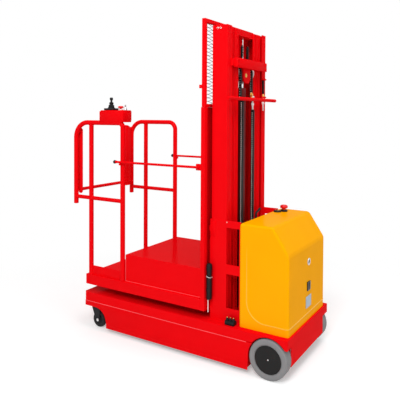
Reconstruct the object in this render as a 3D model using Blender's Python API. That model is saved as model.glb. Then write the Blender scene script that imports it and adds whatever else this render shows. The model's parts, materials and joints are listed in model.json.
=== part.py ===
"""Order picker truck: a self-propelled base on castors and drive wheels, a two-stage mast and a lifting platform.

Metres, +Z up, +X towards the platform end (the front), +Y to the left side.
Sizes below are measured from the middle of the base; the finished pieces are shifted so that
the middle of the whole outline stands on the origin.
"""
import math

import bmesh
import bpy
from mathutils import Matrix, Vector

for old in list(bpy.data.objects):
    bpy.data.objects.remove(old, do_unlink=True)

# Fits
GAP = 0.0005            # between pieces that are bolted or welded together
RUN = 0.006             # between pieces that slide past each other
ROLL_FIT = 0.0006       # between a guide roller and its channel
BORE_FIT = 0.0006       # between a pin and the hole it turns in

# Base
BASE_L = 1.574
BASE_W = 0.712
DECK_Z = 0.256
SHEET = 0.005
RIM_FRONT_Z = 0.161     # lower edge of the rim beside the castors
RIM_REAR_Z = 0.197      # lower edge of the rim behind the wheel arch, and the skirts' top edge
CORNER_CUT = 0.018
SKIRT_REAR_X = -0.532
SKIRT_FRONT_X = 0.572
SKIRT_Z = 0.030
SKIRT_T = 0.004
SKIRT_ARCH_R = 0.100    # of the arch over the castor
APRON_HALF_W = 0.270
APRON_Z = 0.078
BEAM_Y = 0.225          # inner face of a chassis beam
BEAM_W = 0.040
BEAM_Z = 0.100
BEAM_REAR_X = -0.755
BEAM_FRONT_X = 0.560
CROSS_H = 0.055
CROSS_W = 0.040
PAD_Z = 0.157           # underside of the castor pads
PAD_FRONT_X = 0.755

# Drive wheels
WHEEL_X = -0.667
WHEEL_R = 0.120
WHEEL_W = 0.074
WHEEL_PROUD = 0.004     # how far the wheel stands out of the base's side
RIM_R = 0.085
ARCH_CLEAR = 0.0085
STUB_R = 0.022
STUB_FLANGE_R = 0.036

# Castors
CASTOR_X = 0.710
CASTOR_INSET = 0.056    # from the base's side to the swivel axis
CASTOR_TRAIL = 0.028
CASTOR_R = 0.056
CASTOR_W = 0.034
FORK_T = 0.004
FORK_CLEAR = 0.003
STEM_R = 0.007
PIN_R = 0.006
FORK_TOP_T = 0.008

# Mast
MAST_FRONT_X = -0.241
MAST_DEPTH = 0.107
MAST_OUT_Y = 0.280
MAST_TOP_Z = 2.100
FLANGE_W = 0.055
CHANNEL_T = 0.008
INNER_EDGE_Y = 0.114    # the inner upright's edge towards the middle
INNER_WEB_Y = 0.196
INNER_TOP_Z = 2.095
LIFT = 1.300            # travel of each stage
TIE_Z0 = 1.840
TIE_Z1 = 1.899
TIE_T = 0.024
TIE_HALF = 0.240
TIE_SPACER = 0.024      # between the uprights and the tie beam
TOP_BEAM_H = 0.037
BAR_X = -0.392
BAR_Z = 1.643
BAR_R = 0.010
BAR_HALF = 0.355

# Side frames that brace the mast foot
BRACE_FRONT_X = -0.2345
BRACE_REAR_X = -0.452
BRACE_TOP_Z = 0.885
BRACE_T = 0.006
BRACE_STRIP = 0.012
BRACE_TIES = (           # lower edge, upper edge of each tie
    (0.2565, 0.340),
    (0.551, 0.612),
    (0.840, 0.885),
)

# Lift cylinder, crosshead and chains
CYL_R = 0.035
CYL_BORE_R = 0.0215
CYL_DROP = 0.100        # from the sheave axle down to the cylinder's top
ROD_R = 0.020
HEAD_DROP = 0.275       # from the inner mast's top down to the sheave axle
CHAIN_R = 0.040         # pitch radius of the chain over its sheave
CHAIN_Y = 0.080
CHAIN_W = 0.016         # across the stack of link plates
CHAIN_H = 0.018         # height of a link plate
CHAIN_PITCH = 0.032
ANCHOR_Z = 1.645
LUG_Z = 0.450           # top of the carriage lug that takes the chain

# Cover over the power unit
COVER_FRONT_X = -0.455
COVER_REAR_X = -0.776
COVER_HALF_W = 0.315
COVER_TOP_Z = 0.885
COVER_RIDGE_X = -0.672  # where the slope starts
COVER_SLOPE_Z = 0.727   # where the slope ends
COVER_T = 0.005
COVER_ROUND = 0.018
BATTERY_H = 0.300
BATTERY_ROOM = 0.060    # between the battery and the cover's sides

# Platform
PAN_REAR_X = -0.229
PAN_FRONT_X = 0.781
PAN_HALF_W = 0.341
PAN_Z0 = 0.309
PAN_Z1 = 0.381
PAN_T = 0.004
PAN_RIBS = 4
STEP_FRONT_X = 0.430
STEP_HALF_W = 0.315
STEP_Z = 0.566
TUBE_R = 0.017
TUBE_SIDES = 12
MID_TUBE_R = 0.014
RAIL_Y = 0.3205
RAIL_TOP_Z = 1.481
RAIL_MID_Z = 0.935
POST_REAR_X = 0.453
POST_FRONT_X = 0.749
LEG_X = 0.900
LEG_Z = 0.885
BEND_FRONT_R = 0.110
BEND_REAR_R = 0.060
TOE_Z = 0.445

# Backrest and mesh guard
BACK_FRONT_X = -0.195
BACK_TUBE = 0.030       # square tube of the two posts
BACK_TOP_Z = 1.588
PANEL_X = -0.209        # rear face of the sheet between the posts
PANEL_T = 0.004
GUARD_TUBE = 0.025
GUARD_TOP_Z = 2.140
MESH_T = 0.003
MESH_STRAND = 0.0035
MESH_COLUMNS = 8
MESH_ROWS = 15

# Buffer strut beside the mast
STRUT_X = -0.243
STRUT_R = 0.0175
STRUT_TOP_Z = 0.605

# Gate and drop bars
GATE_X = 0.880
GATE_PIVOT_Z = 1.420
GATE_LOW_Z = 0.985
GATE_ARM_W = 0.040
GATE_ARM_T = 0.006
BAR_PIVOT_X = -0.175
BAR_PIVOT_Z = 1.211
DROP_BAR_R = 0.008
DROP_BAR_Y = 0.3510
DROP_BAR_END_X = 0.500
KNOB_R = 0.0125

# Controls
BOX_REAR_X = 0.437
BOX_FRONT_X = 0.656
BOX_IN_Y = 0.245
BOX_OUT_Y = 0.330
BOX_H = 0.072

REAR_X = -BASE_L / 2
FRONT_X = BASE_L / 2
HALF_W = BASE_W / 2
WHEEL_OUT_Y = HALF_W + WHEEL_PROUD
CASTOR_Y = HALF_W - CASTOR_INSET
MAST_REAR_X = MAST_FRONT_X - MAST_DEPTH
CYL_X = MAST_FRONT_X - MAST_DEPTH / 2
HEAD_Z = INNER_TOP_Z - HEAD_DROP
CYL_TOP_Z = HEAD_Z - CYL_DROP
SHEAVE_R = CHAIN_R - CHAIN_H / 2
STEP_REAR_X = BACK_FRONT_X + GAP
CARRIAGE_TOP_Z = INNER_TOP_Z - TOP_BEAM_H - LIFT - 2 * RUN
TYRE_IN_Y = WHEEL_OUT_Y - WHEEL_W
SHIFT_X = -(REAR_X + LEG_X + TUBE_R) / 2

PARTS = bpy.data.collections.new("order_picker_truck")
CUTTERS = bpy.data.collections.new("cutters")
bpy.context.scene.collection.children.link(PARTS)
bpy.context.scene.collection.children.link(CUTTERS)
CUTTERS.hide_render = True

# Colours: red, green, blue, roughness, metallic
FINISHES = {
    "red_paint": (0.80, 0.005, 0.008, 0.35, 0.0),
    "yellow_paint": (1.0, 0.42, 0.0, 0.35, 0.0),
    "dark_paint": (0.16, 0.004, 0.004, 0.5, 0.0),
    "black_plastic": (0.02, 0.02, 0.02, 0.5, 0.0),
    "red_plastic": (0.75, 0.01, 0.01, 0.3, 0.0),
    "steel": (0.55, 0.55, 0.56, 0.3, 1.0),
    "chain_steel": (0.12, 0.12, 0.13, 0.4, 1.0),
    "grey_rubber": (0.25, 0.25, 0.26, 0.7, 0.0),
    "dark_hub": (0.03, 0.03, 0.03, 0.5, 0.0),
    "battery_grey": (0.10, 0.10, 0.10, 0.6, 0.0),
    "plate_grey": (0.30, 0.36, 0.45, 0.4, 0.0),
}


def finish(name):
    """The node material of this name, made once."""
    found = bpy.data.materials.get(name)
    if found:
        return found
    red, green, blue, rough, metal = FINISHES[name]
    made = bpy.data.materials.new(name)
    made.use_nodes = True
    shader = made.node_tree.nodes["Principled BSDF"]
    shader.inputs["Base Color"].default_value = (red, green, blue, 1.0)
    shader.inputs["Roughness"].default_value = rough
    shader.inputs["Metallic"].default_value = metal
    return made


# Shapes: each returns a bmesh in the base's own coordinates
def prism(outline, axis, low, high):
    """An outline extruded along an axis. Its points are (x, z) for Y, (x, y) for Z and (y, z) for X."""
    order = {"X": (2, 0, 1), "Y": (0, 2, 1), "Z": (0, 1, 2)}[axis]
    shape = bmesh.new()
    rings = []
    for level in (low, high):
        ring = []
        for first, second in outline:
            point = (first, second, level)
            ring.append(shape.verts.new([point[i] for i in order]))
        rings.append(ring)
    count = len(outline)
    shape.faces.new(rings[0])
    shape.faces.new(list(reversed(rings[1])))
    for i in range(count):
        j = (i + 1) % count
        shape.faces.new((rings[0][j], rings[0][i], rings[1][i], rings[1][j]))
    bmesh.ops.recalc_face_normals(shape, faces=shape.faces)
    return shape


def block(x0, x1, y0, y1, z0, z1):
    return prism(((x0, y0), (x1, y0), (x1, y1), (x0, y1)), "Z", z0, z1)


def cylinder(axis, centre, radius, low, high, segments=24):
    """A cylinder along an axis; centre gives the other two coordinates in the order prism takes."""
    outline = []
    for i in range(segments):
        angle = 2 * math.pi * (i + 0.5) / segments
        outline.append((centre[0] + radius * math.cos(angle), centre[1] + radius * math.sin(angle)))
    return prism(outline, axis, low, high)


def lathe(profile, centre, segments=36):
    """A profile of (radius, y) points turned about a line along Y through centre (x, z)."""
    shape = bmesh.new()
    rings = []
    for i in range(segments):
        angle = 2 * math.pi * i / segments
        ring = []
        for radius, y in profile:
            ring.append(shape.verts.new((
                centre[0] + radius * math.cos(angle), y, centre[1] + radius * math.sin(angle))))
        rings.append(ring)
    count = len(profile)
    for i in range(segments):
        here, after = rings[i], rings[(i + 1) % segments]
        for j in range(count):
            k = (j + 1) % count
            shape.faces.new((here[j], here[k], after[k], after[j]))
    bmesh.ops.recalc_face_normals(shape, faces=shape.faces)
    return shape


def rounded_path(points, radii, steps=5):
    """The points of an open line whose inner corners are rounded to the given radii."""
    path = [Vector(points[0])]
    for i in range(1, len(points) - 1):
        corner = Vector(points[i])
        before = (Vector(points[i - 1]) - corner).normalized()
        after = (Vector(points[i + 1]) - corner).normalized()
        radius = radii[i - 1]
        half = before.angle(after) / 2
        reach = radius / math.tan(half)
        centre = corner + (before + after).normalized() * radius / math.sin(half)
        start = corner + before * reach - centre
        end = corner + after * reach - centre
        for step in range(steps + 1):
            path.append(centre + start.slerp(end, step / steps) * radius)
    path.append(Vector(points[-1]))
    return path


def tube(points, radius, sides=TUBE_SIDES):
    """A closed round bar along a path that stays in one plane."""
    shape = bmesh.new()
    rings = []
    count = len(points)
    for i, point in enumerate(points):
        ahead = points[i + 1] - point if i < count - 1 else point - points[i - 1]
        behind = point - points[i - 1] if i > 0 else ahead
        along = (ahead.normalized() + behind.normalized()).normalized()
        flat = Vector((0, 1, 0)) if abs(along.y) < 0.5 else Vector((0, 0, 1))
        across = along.cross(flat).normalized()
        bend = 1.0
        if 0 < i < count - 1:
            bend = 1.0 / max(0.5, along.dot(ahead.normalized()))
        ring = []
        for k in range(sides):
            angle = 2 * math.pi * (k + 0.5) / sides
            offset = across * math.cos(angle) * radius * bend + flat * math.sin(angle) * radius
            ring.append(shape.verts.new(point + offset))
        rings.append(ring)
    for here, after in zip(rings, rings[1:]):
        for k in range(sides):
            m = (k + 1) % sides
            shape.faces.new((here[k], here[m], after[m], after[k]))
    shape.faces.new(list(reversed(rings[0])))
    shape.faces.new(rings[-1])
    bmesh.ops.recalc_face_normals(shape, faces=shape.faces)
    return shape


def straight(start, end, radius, sides=TUBE_SIDES):
    return tube([Vector(start), Vector(end)], radius, sides)


# Pieces
def helper(name, shape, collection):
    mesh = bpy.data.meshes.new(name)
    shape.to_mesh(mesh)
    shape.free()
    made = bpy.data.objects.new(name, mesh)
    collection.objects.link(made)
    return made


def piece(name, material, shape, add=(), cut=(), pivot=None, smooth=False):
    """One named piece: a shape, with others joined on and cut away, its origin on its pivot."""
    made = helper(name, shape, PARTS)
    for operation, shapes in (("UNION", add), ("DIFFERENCE", cut)):
        for i, extra in enumerate(shapes):
            tool = helper(f"{name}_{operation.lower()}_{i}", extra, CUTTERS)
            tool.display_type = "WIRE"
            tool.hide_render = True
            step = made.modifiers.new(f"{operation.lower()} {i}", "BOOLEAN")
            step.operation = operation
            step.solver = "EXACT"
            step.object = tool
    made.data.materials.append(finish(material))
    if pivot is not None:
        made.data.transform(Matrix.Translation(-Vector(pivot)))
        made.location = pivot
    if smooth:
        for face in made.data.polygons:
            face.use_smooth = True
    return made


SIDES = (("left", 1), ("right", -1))


def mirrored(side, low, high):
    """A span across the truck, on the left side as given and on the right side mirrored."""
    return (low, high) if side > 0 else (-high, -low)


# Chassis
def cut_corner_outline(inset):
    """The base seen from above, its front corners cut off."""
    x0 = REAR_X + inset
    x1 = FRONT_X - inset
    y = HALF_W - inset
    cut = CORNER_CUT - inset * 0.4
    return ((x0, -y), (x1 - cut, -y), (x1, -y + cut), (x1, y - cut), (x1 - cut, y), (x0, y))


def skirt_outline():
    """A skirt seen from the side: its lower edge arches over the castor and runs on along the rim."""
    arch_x = SKIRT_FRONT_X + SKIRT_ARCH_R
    arch_z = RIM_FRONT_Z - SKIRT_ARCH_R
    outline = [(SKIRT_REAR_X, RIM_REAR_Z), (SKIRT_REAR_X, SKIRT_Z), (SKIRT_FRONT_X, SKIRT_Z)]
    for i in range(9):
        turn = math.pi - math.pi / 2 * i / 8
        outline.append((arch_x + SKIRT_ARCH_R * math.cos(turn), arch_z + SKIRT_ARCH_R * math.sin(turn)))
    end_x = FRONT_X - CORNER_CUT
    return outline + [(end_x, RIM_FRONT_Z), (end_x, RIM_REAR_Z)]


def build_base():
    cuts = [
        prism(cut_corner_outline(SHEET), "Z", RIM_FRONT_Z - 0.01, DECK_Z - SHEET),
        block(REAR_X - 0.01, SKIRT_REAR_X, -HALF_W - 0.01, HALF_W + 0.01, RIM_FRONT_Z - 0.01, RIM_REAR_Z),
    ]
    for name, side in SIDES:
        low, high = mirrored(side, TYRE_IN_Y - 0.01, HALF_W + 0.02)
        cuts.append(cylinder("Y", (WHEEL_X, WHEEL_R), WHEEL_R + ARCH_CLEAR, low, high, 40))
    piece("deck_tray", "red_paint", prism(cut_corner_outline(0), "Z", RIM_FRONT_Z, DECK_Z), cut=cuts)
    under_deck = DECK_Z - SHEET - GAP
    joins = []
    bores = []
    for x in (BEAM_REAR_X + CROSS_W, -0.200, 0.180, BEAM_FRONT_X - CROSS_W):
        joins.append(block(x - CROSS_W / 2, x + CROSS_W / 2, -BEAM_Y - 0.01, BEAM_Y + 0.01,
                           under_deck - CROSS_H, under_deck))
    low, high = mirrored(-1, BEAM_Y, BEAM_Y + BEAM_W)
    joins.append(block(BEAM_REAR_X, BEAM_FRONT_X, low, high, BEAM_Z, under_deck))
    for name, side in SIDES:
        low, high = mirrored(side, BEAM_Y, HALF_W - SHEET - GAP)
        joins.append(block(BEAM_FRONT_X - 0.03, PAD_FRONT_X, low, high, PAD_Z, under_deck))
        bores.append(cylinder("Z", (CASTOR_X, side * CASTOR_Y), STEM_R + BORE_FIT, PAD_Z - 0.01, PAD_Z + 0.045, 20))
        flange = mirrored(side, BEAM_Y + BEAM_W - 0.004, TYRE_IN_Y - RUN)
        stub = mirrored(side, BEAM_Y + BEAM_W - 0.004, TYRE_IN_Y + 0.016)
        joins.append(cylinder("Y", (WHEEL_X, WHEEL_R), STUB_FLANGE_R, *flange, 20))
        joins.append(cylinder("Y", (WHEEL_X, WHEEL_R), STUB_R, *stub, 20))
    piece("chassis_frame", "red_paint",
          block(BEAM_REAR_X, BEAM_FRONT_X, BEAM_Y, BEAM_Y + BEAM_W, BEAM_Z, under_deck), add=joins, cut=bores)
    for name, side in SIDES:
        low, high = mirrored(side, HALF_W + GAP, HALF_W + GAP + SKIRT_T)
        piece(f"skirt_{name}", "red_paint", prism(skirt_outline(), "Y", low, high))
    apron_x = REAR_X + SHEET + GAP
    piece("rear_apron", "red_paint",
          block(apron_x, apron_x + 0.004, -APRON_HALF_W, APRON_HALF_W, APRON_Z, DECK_Z - SHEET - GAP))


def build_drive_wheels():
    """Grey solid tyres on dark discs; each pair of tyre and disc turns about its stub axle."""
    for name, side in SIDES:
        out = side * WHEEL_OUT_Y
        inner = side * TYRE_IN_Y
        shoulder = 0.010
        tread = (
            (RIM_R + GAP, inner), (RIM_R + GAP, out - side * 0.002),
            (RIM_R + 0.004, out), (WHEEL_R - shoulder, out),
            (WHEEL_R - 0.003, out - side * 0.004), (WHEEL_R, out - side * shoulder),
            (WHEEL_R, inner + side * shoulder), (WHEEL_R - 0.003, inner + side * 0.004),
            (WHEEL_R - shoulder, inner),
        )
        centre = (WHEEL_X, side * (WHEEL_OUT_Y - WHEEL_W / 2), WHEEL_R)
        piece(f"drive_tyre_{name}", "grey_rubber", lathe(tread, (WHEEL_X, WHEEL_R), 40), pivot=centre, smooth=True)
        disc = (
            (STUB_R + BORE_FIT, inner + side * 0.006), (STUB_R + BORE_FIT, inner + side * 0.020),
            (0.004, inner + side * 0.020), (0.004, out - side * 0.002), (RIM_R - 0.003, out - side * 0.002),
            (RIM_R, out - side * 0.005), (RIM_R, inner + side * 0.006),
        )
        bolt = mirrored(side, WHEEL_OUT_Y - 0.050, WHEEL_OUT_Y - GAP)
        piece(f"drive_hub_{name}", "dark_hub", lathe(disc, (WHEEL_X, WHEEL_R), 40), pivot=centre, smooth=True,
              add=[cylinder("Y", (WHEEL_X, WHEEL_R), 0.006, *bolt, 12)])


def build_castors():
    """Swivelling forks with trailing wheels, on a stem in the chassis pad."""
    top = PAD_Z - GAP
    for name, side in SIDES:
        y = side * CASTOR_Y
        wheel_x = CASTOR_X - CASTOR_TRAIL
        leg_in = CASTOR_W / 2 + FORK_CLEAR
        leg_out = leg_in + FORK_T
        outline = (
            (wheel_x - 0.014, CASTOR_R - 0.012), (wheel_x + 0.014, CASTOR_R - 0.012),
            (CASTOR_X + 0.027, top - 0.020), (CASTOR_X + 0.027, top - FORK_TOP_T / 2),
            (CASTOR_X - 0.045, top - FORK_TOP_T / 2), (CASTOR_X - 0.045, top - 0.030),
        )
        legs = [prism(outline, "Y", y + low, y + high) for low, high in ((leg_in, leg_out), (-leg_out, -leg_in))]
        joins = [
            block(CASTOR_X - 0.045, CASTOR_X + 0.027, y - leg_out, y + leg_out, top - FORK_TOP_T - 0.006, top - 0.003),
            cylinder("Z", (CASTOR_X, y), STEM_R, top - 0.006, PAD_Z + 0.035, 20),
            cylinder("Z", (CASTOR_X, y), 0.030, top - 0.008, top, 24),
            cylinder("Y", (wheel_x, CASTOR_R), PIN_R, y - leg_out - 0.003, y + leg_out + 0.003, 16),
        ]
        piece(f"castor_fork_{name}", "black_plastic", legs[0], add=[legs[1]] + joins, pivot=(CASTOR_X, y, top))
        half = CASTOR_W / 2
        profile = (
            (PIN_R + BORE_FIT, y - half), (CASTOR_R - 0.005, y - half), (CASTOR_R, y - half + 0.006),
            (CASTOR_R, y + half - 0.006), (CASTOR_R - 0.005, y + half), (PIN_R + BORE_FIT, y + half),
        )
        piece(f"castor_wheel_{name}", "black_plastic", lathe(profile, (wheel_x, CASTOR_R), 32),
              pivot=(wheel_x, y, CASTOR_R), smooth=True)


# Mast
def build_outer_mast():
    foot = DECK_Z + GAP
    for name, side in SIDES:
        web = mirrored(side, MAST_OUT_Y - CHANNEL_T, MAST_OUT_Y)
        flange = mirrored(side, MAST_OUT_Y - FLANGE_W, MAST_OUT_Y - CHANNEL_T / 2)
        joins = [
            block(MAST_FRONT_X - CHANNEL_T, MAST_FRONT_X, *flange, foot, MAST_TOP_Z),
            block(MAST_REAR_X, MAST_REAR_X + CHANNEL_T, *flange, foot, MAST_TOP_Z),
        ]
        inner_flange = CHANNEL_T + RUN + CHANNEL_T
        roller_r = (MAST_DEPTH - 2 * inner_flange) / 2 - ROLL_FIT
        roller = mirrored(side, INNER_WEB_Y + CHANNEL_T + RUN, MAST_OUT_Y - CHANNEL_T / 2)
        joins.append(cylinder("Y", (CYL_X, MAST_TOP_Z - 0.060), roller_r, *roller, 24))
        piece(f"outer_mast_{name}", "red_paint", block(MAST_REAR_X, MAST_FRONT_X, *web, foot, MAST_TOP_Z), add=joins)
    for name, side in SIDES:
        span = mirrored(side, MAST_OUT_Y + GAP, MAST_OUT_Y + GAP + BRACE_T)
        windows = []
        for (_, low), (high, _) in zip(BRACE_TIES, BRACE_TIES[1:]):
            windows.append(block(BRACE_REAR_X + BRACE_STRIP, MAST_REAR_X - 0.004, span[0] - 0.01, span[1] + 0.01,
                                 low, high))
        piece(f"mast_brace_{name}", "red_paint",
              block(BRACE_REAR_X, BRACE_FRONT_X, *span, BRACE_TIES[0][0], BRACE_TOP_Z), cut=windows)
    back = MAST_REAR_X - GAP
    beam_x = back - TIE_SPACER
    spacers = []
    for name, side in SIDES:
        spacers.append(block(beam_x - 0.005, back, *mirrored(side, MAST_OUT_Y - FLANGE_W - 0.020, TIE_HALF - 0.006),
                             TIE_Z0 + 0.008, TIE_Z1 - 0.008))
    piece("mast_tie_beam", "red_paint", block(beam_x - TIE_T, beam_x, -TIE_HALF, TIE_HALF, TIE_Z0, TIE_Z1), add=spacers)
    joins = []
    tab_y = MAST_OUT_Y - FLANGE_W / 2
    for name, side in SIDES:
        joins.append(block(BAR_X, back, *mirrored(side, tab_y - 0.004, tab_y + 0.004), BAR_Z - 0.008, BAR_Z + 0.008))
        joins.append(block(BAR_X, CYL_X - CHAIN_R + CHAIN_H / 2, *mirrored(side, CHAIN_Y - 0.010, CHAIN_Y + 0.010),
                           BAR_Z - 0.006, ANCHOR_Z - GAP))
        joins.append(cylinder("Z", (CYL_X - CHAIN_R - 0.012, side * CHAIN_Y), 0.006, BAR_Z - 0.070, BAR_Z, 12))
    piece("chain_anchor_bar", "red_paint", cylinder("Y", (BAR_X, BAR_Z), BAR_R, -BAR_HALF, BAR_HALF, 16), add=joins)


def build_inner_mast():
    flange_front = MAST_FRONT_X - CHANNEL_T - RUN
    flange_rear = MAST_REAR_X + CHANNEL_T + RUN
    foot = DECK_Z + 0.014
    for name, side in SIDES:
        span = mirrored(side, INNER_EDGE_Y, MAST_OUT_Y - CHANNEL_T - RUN - 0.002)
        web = mirrored(side, INNER_WEB_Y, INNER_WEB_Y + CHANNEL_T)
        roller = mirrored(side, INNER_WEB_Y + CHANNEL_T / 2, MAST_OUT_Y - CHANNEL_T - 0.001)
        joins = [
            block(flange_rear, flange_rear + CHANNEL_T, *span, foot, INNER_TOP_Z),
            block(flange_rear + CHANNEL_T / 2, flange_front - CHANNEL_T / 2, *web, foot, INNER_TOP_Z),
        ]
        cuts = []
        low = mirrored(side, INNER_WEB_Y + CHANNEL_T + 0.001, MAST_OUT_Y)
        cuts.append(block(MAST_REAR_X, MAST_FRONT_X, *low, foot - 0.01, foot + 0.095))
        made = piece(f"inner_mast_{name}", "red_paint",
                     block(flange_front - CHANNEL_T, flange_front, *span, foot, INNER_TOP_Z), add=joins, cut=cuts)
        tool = helper(f"inner_roller_{name}",
                      cylinder("Y", (CYL_X, foot + 0.050), MAST_DEPTH / 2 - CHANNEL_T - ROLL_FIT, *roller, 24), CUTTERS)
        tool.display_type = "WIRE"
        tool.hide_render = True
        step = made.modifiers.new("roller", "BOOLEAN")
        step.operation = "UNION"
        step.solver = "EXACT"
        step.object = tool
    piece("inner_top_beam", "red_paint",
          block(flange_rear + CHANNEL_T + GAP, flange_front - CHANNEL_T - GAP, -INNER_WEB_Y + GAP, INNER_WEB_Y - GAP,
                INNER_TOP_Z - TOP_BEAM_H, INNER_TOP_Z))


def chain_strand(name, x, side, low, high):
    """A leaf chain seen from its side: link plates with a waist between each pair of pins."""
    links = max(1, round((high - low) / CHAIN_PITCH))
    pitch = (high - low) / links
    wide = CHAIN_H / 2
    waist = wide * 0.72
    front = []
    for i in range(links):
        front.append((wide, low + (i + 0.15) * pitch))
        front.append((wide, low + (i + 0.55) * pitch))
        front.append((waist, low + (i + 0.85) * pitch))
    front = [(waist, low)] + front[:-1] + [(waist, high)]
    rear = [(-reach, z) for reach, z in reversed(front)]
    outline = [(x + reach, z) for reach, z in front + rear]
    y = side * CHAIN_Y
    piece(name, "chain_steel", prism(outline, "Y", y - CHAIN_W / 2, y + CHAIN_W / 2))


def build_lift():
    foot = DECK_Z + GAP
    piece("lift_cylinder", "dark_paint", cylinder("Z", (CYL_X, 0), CYL_R, foot, CYL_TOP_Z, 28),
          cut=[cylinder("Z", (CYL_X, 0), CYL_BORE_R, foot + 0.060, CYL_TOP_Z + 0.01, 28)], smooth=False)
    block_low = HEAD_Z - 0.030
    piece("piston_rod", "steel", cylinder("Z", (CYL_X, 0), ROD_R, foot + 0.080, block_low - GAP, 28))
    yoke_x1 = MAST_REAR_X + CHANNEL_T + RUN - GAP
    yoke_x0 = MAST_REAR_X + 0.0055
    yoke_y = MAST_OUT_Y - FLANGE_W - RUN
    yoke_low = HEAD_Z + (CHAIN_R + CHAIN_H / 2) * 0.66      # clear of the chain where it curves forward
    plate = (
        (-yoke_y, yoke_low), (-0.050, yoke_low), (-0.050, HEAD_Z - 0.045), (-0.025, HEAD_Z - 0.070),
        (0.025, HEAD_Z - 0.070), (0.050, HEAD_Z - 0.045), (0.050, yoke_low), (yoke_y, yoke_low),
        (yoke_y, TIE_Z1 - 0.005), (-yoke_y, TIE_Z1 - 0.005),
    )
    piece("lift_crosshead", "red_paint", prism(plate, "X", yoke_x0, yoke_x1), add=[
        block(yoke_x1 - 0.001, CYL_X + 0.022, -0.044, 0.044, block_low, HEAD_Z + 0.030),
        cylinder("Y", (CYL_X, HEAD_Z), 0.010, -CHAIN_Y - 0.014, CHAIN_Y + 0.014, 16),
    ])
    for name, side in SIDES:
        y = side * CHAIN_Y
        bore = 0.010 + BORE_FIT
        half = CHAIN_W / 2
        profile = (
            (bore, y - half - 0.003), (CHAIN_R - 0.002, y - half - 0.003), (SHEAVE_R, y - half - 0.0005),
            (SHEAVE_R, y + half + 0.0005), (CHAIN_R - 0.002, y + half + 0.003), (bore, y + half + 0.003),
        )
        over = []
        steps = 10
        for radius, order in ((CHAIN_R + CHAIN_H / 2, 1), (SHEAVE_R - 0.001, -1)):
            for i in range(steps + 1)[::order]:
                angle = math.pi * i / steps
                over.append((CYL_X + radius * math.cos(angle), HEAD_Z + GAP + radius * math.sin(angle)))
        piece(f"chain_sheave_{name}", "chain_steel", lathe(profile, (CYL_X, HEAD_Z), 32),
              add=[prism(over, "Y", y - half, y + half)])
        chain_strand(f"chain_fixed_{name}", CYL_X - CHAIN_R, side, ANCHOR_Z, HEAD_Z)
        chain_strand(f"chain_lift_{name}", CYL_X + CHAIN_R, side, LUG_Z + GAP, HEAD_Z)


# Power unit
def cover_outline(inset, floor):
    """Side view of the cover, with the slope's corners moved in by the wall."""
    slope = math.atan2(COVER_TOP_Z - COVER_SLOPE_Z, COVER_RIDGE_X - COVER_REAR_X)
    ridge = inset * math.tan(slope / 2)
    low = inset * math.tan((math.pi / 2 - slope) / 2)
    return (
        (COVER_FRONT_X - inset, floor), (COVER_FRONT_X - inset, COVER_TOP_Z - inset),
        (COVER_RIDGE_X + ridge, COVER_TOP_Z - inset), (COVER_REAR_X + inset, COVER_SLOPE_Z - low),
        (COVER_REAR_X + inset, floor),
    )


def cover_form(inset, floor):
    """The cover's closed form, moved in by the wall and rounded everywhere but at its foot."""
    half = COVER_HALF_W - inset
    form = prism(cover_outline(inset, floor), "Y", -half, half)
    edges = [edge for edge in form.edges if max(v.co.z for v in edge.verts) > floor + 0.01]
    bmesh.ops.bevel(form, geom=edges, offset=COVER_ROUND - inset, segments=3, profile=0.5, affect="EDGES")
    return form


def build_power_unit():
    foot = DECK_Z + GAP
    piece("power_cover", "yellow_paint", cover_form(0, foot), cut=[cover_form(COVER_T, foot - 0.02)])
    piece("battery_block", "battery_grey",
          block(COVER_REAR_X + BATTERY_ROOM, COVER_FRONT_X - BATTERY_ROOM / 2, BATTERY_ROOM - COVER_HALF_W,
                COVER_HALF_W - BATTERY_ROOM, foot, foot + BATTERY_H))
    top = COVER_TOP_Z + GAP
    piece("cover_stop_button", "red_plastic", cylinder("Z", (-0.530, -0.200), 0.022, top + 0.018, top + 0.034, 24),
          add=[cylinder("Z", (-0.530, -0.200), 0.012, top, top + 0.020, 20)])
    piece("cover_socket", "black_plastic", block(-0.545, -0.500, -0.165, -0.125, top, top + 0.022))
    back = COVER_REAR_X - GAP
    for name, material, width, low, high in (
        ("key_switch", "black_plastic", 0.050, 0.604, 0.646),
        ("charge_gauge", "black_plastic", 0.070, 0.445, 0.500),
        ("blank_plate", "plate_grey", 0.088, 0.340, 0.412),
    ):
        thick = 0.003 if name == "blank_plate" else 0.006
        piece(name, material, block(back - thick, back, -0.010 - width / 2, -0.010 + width / 2, low, high))
    piece("deck_connector", "black_plastic", block(-0.432, -0.368, 0.297, 0.338, foot, foot + 0.045))


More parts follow.
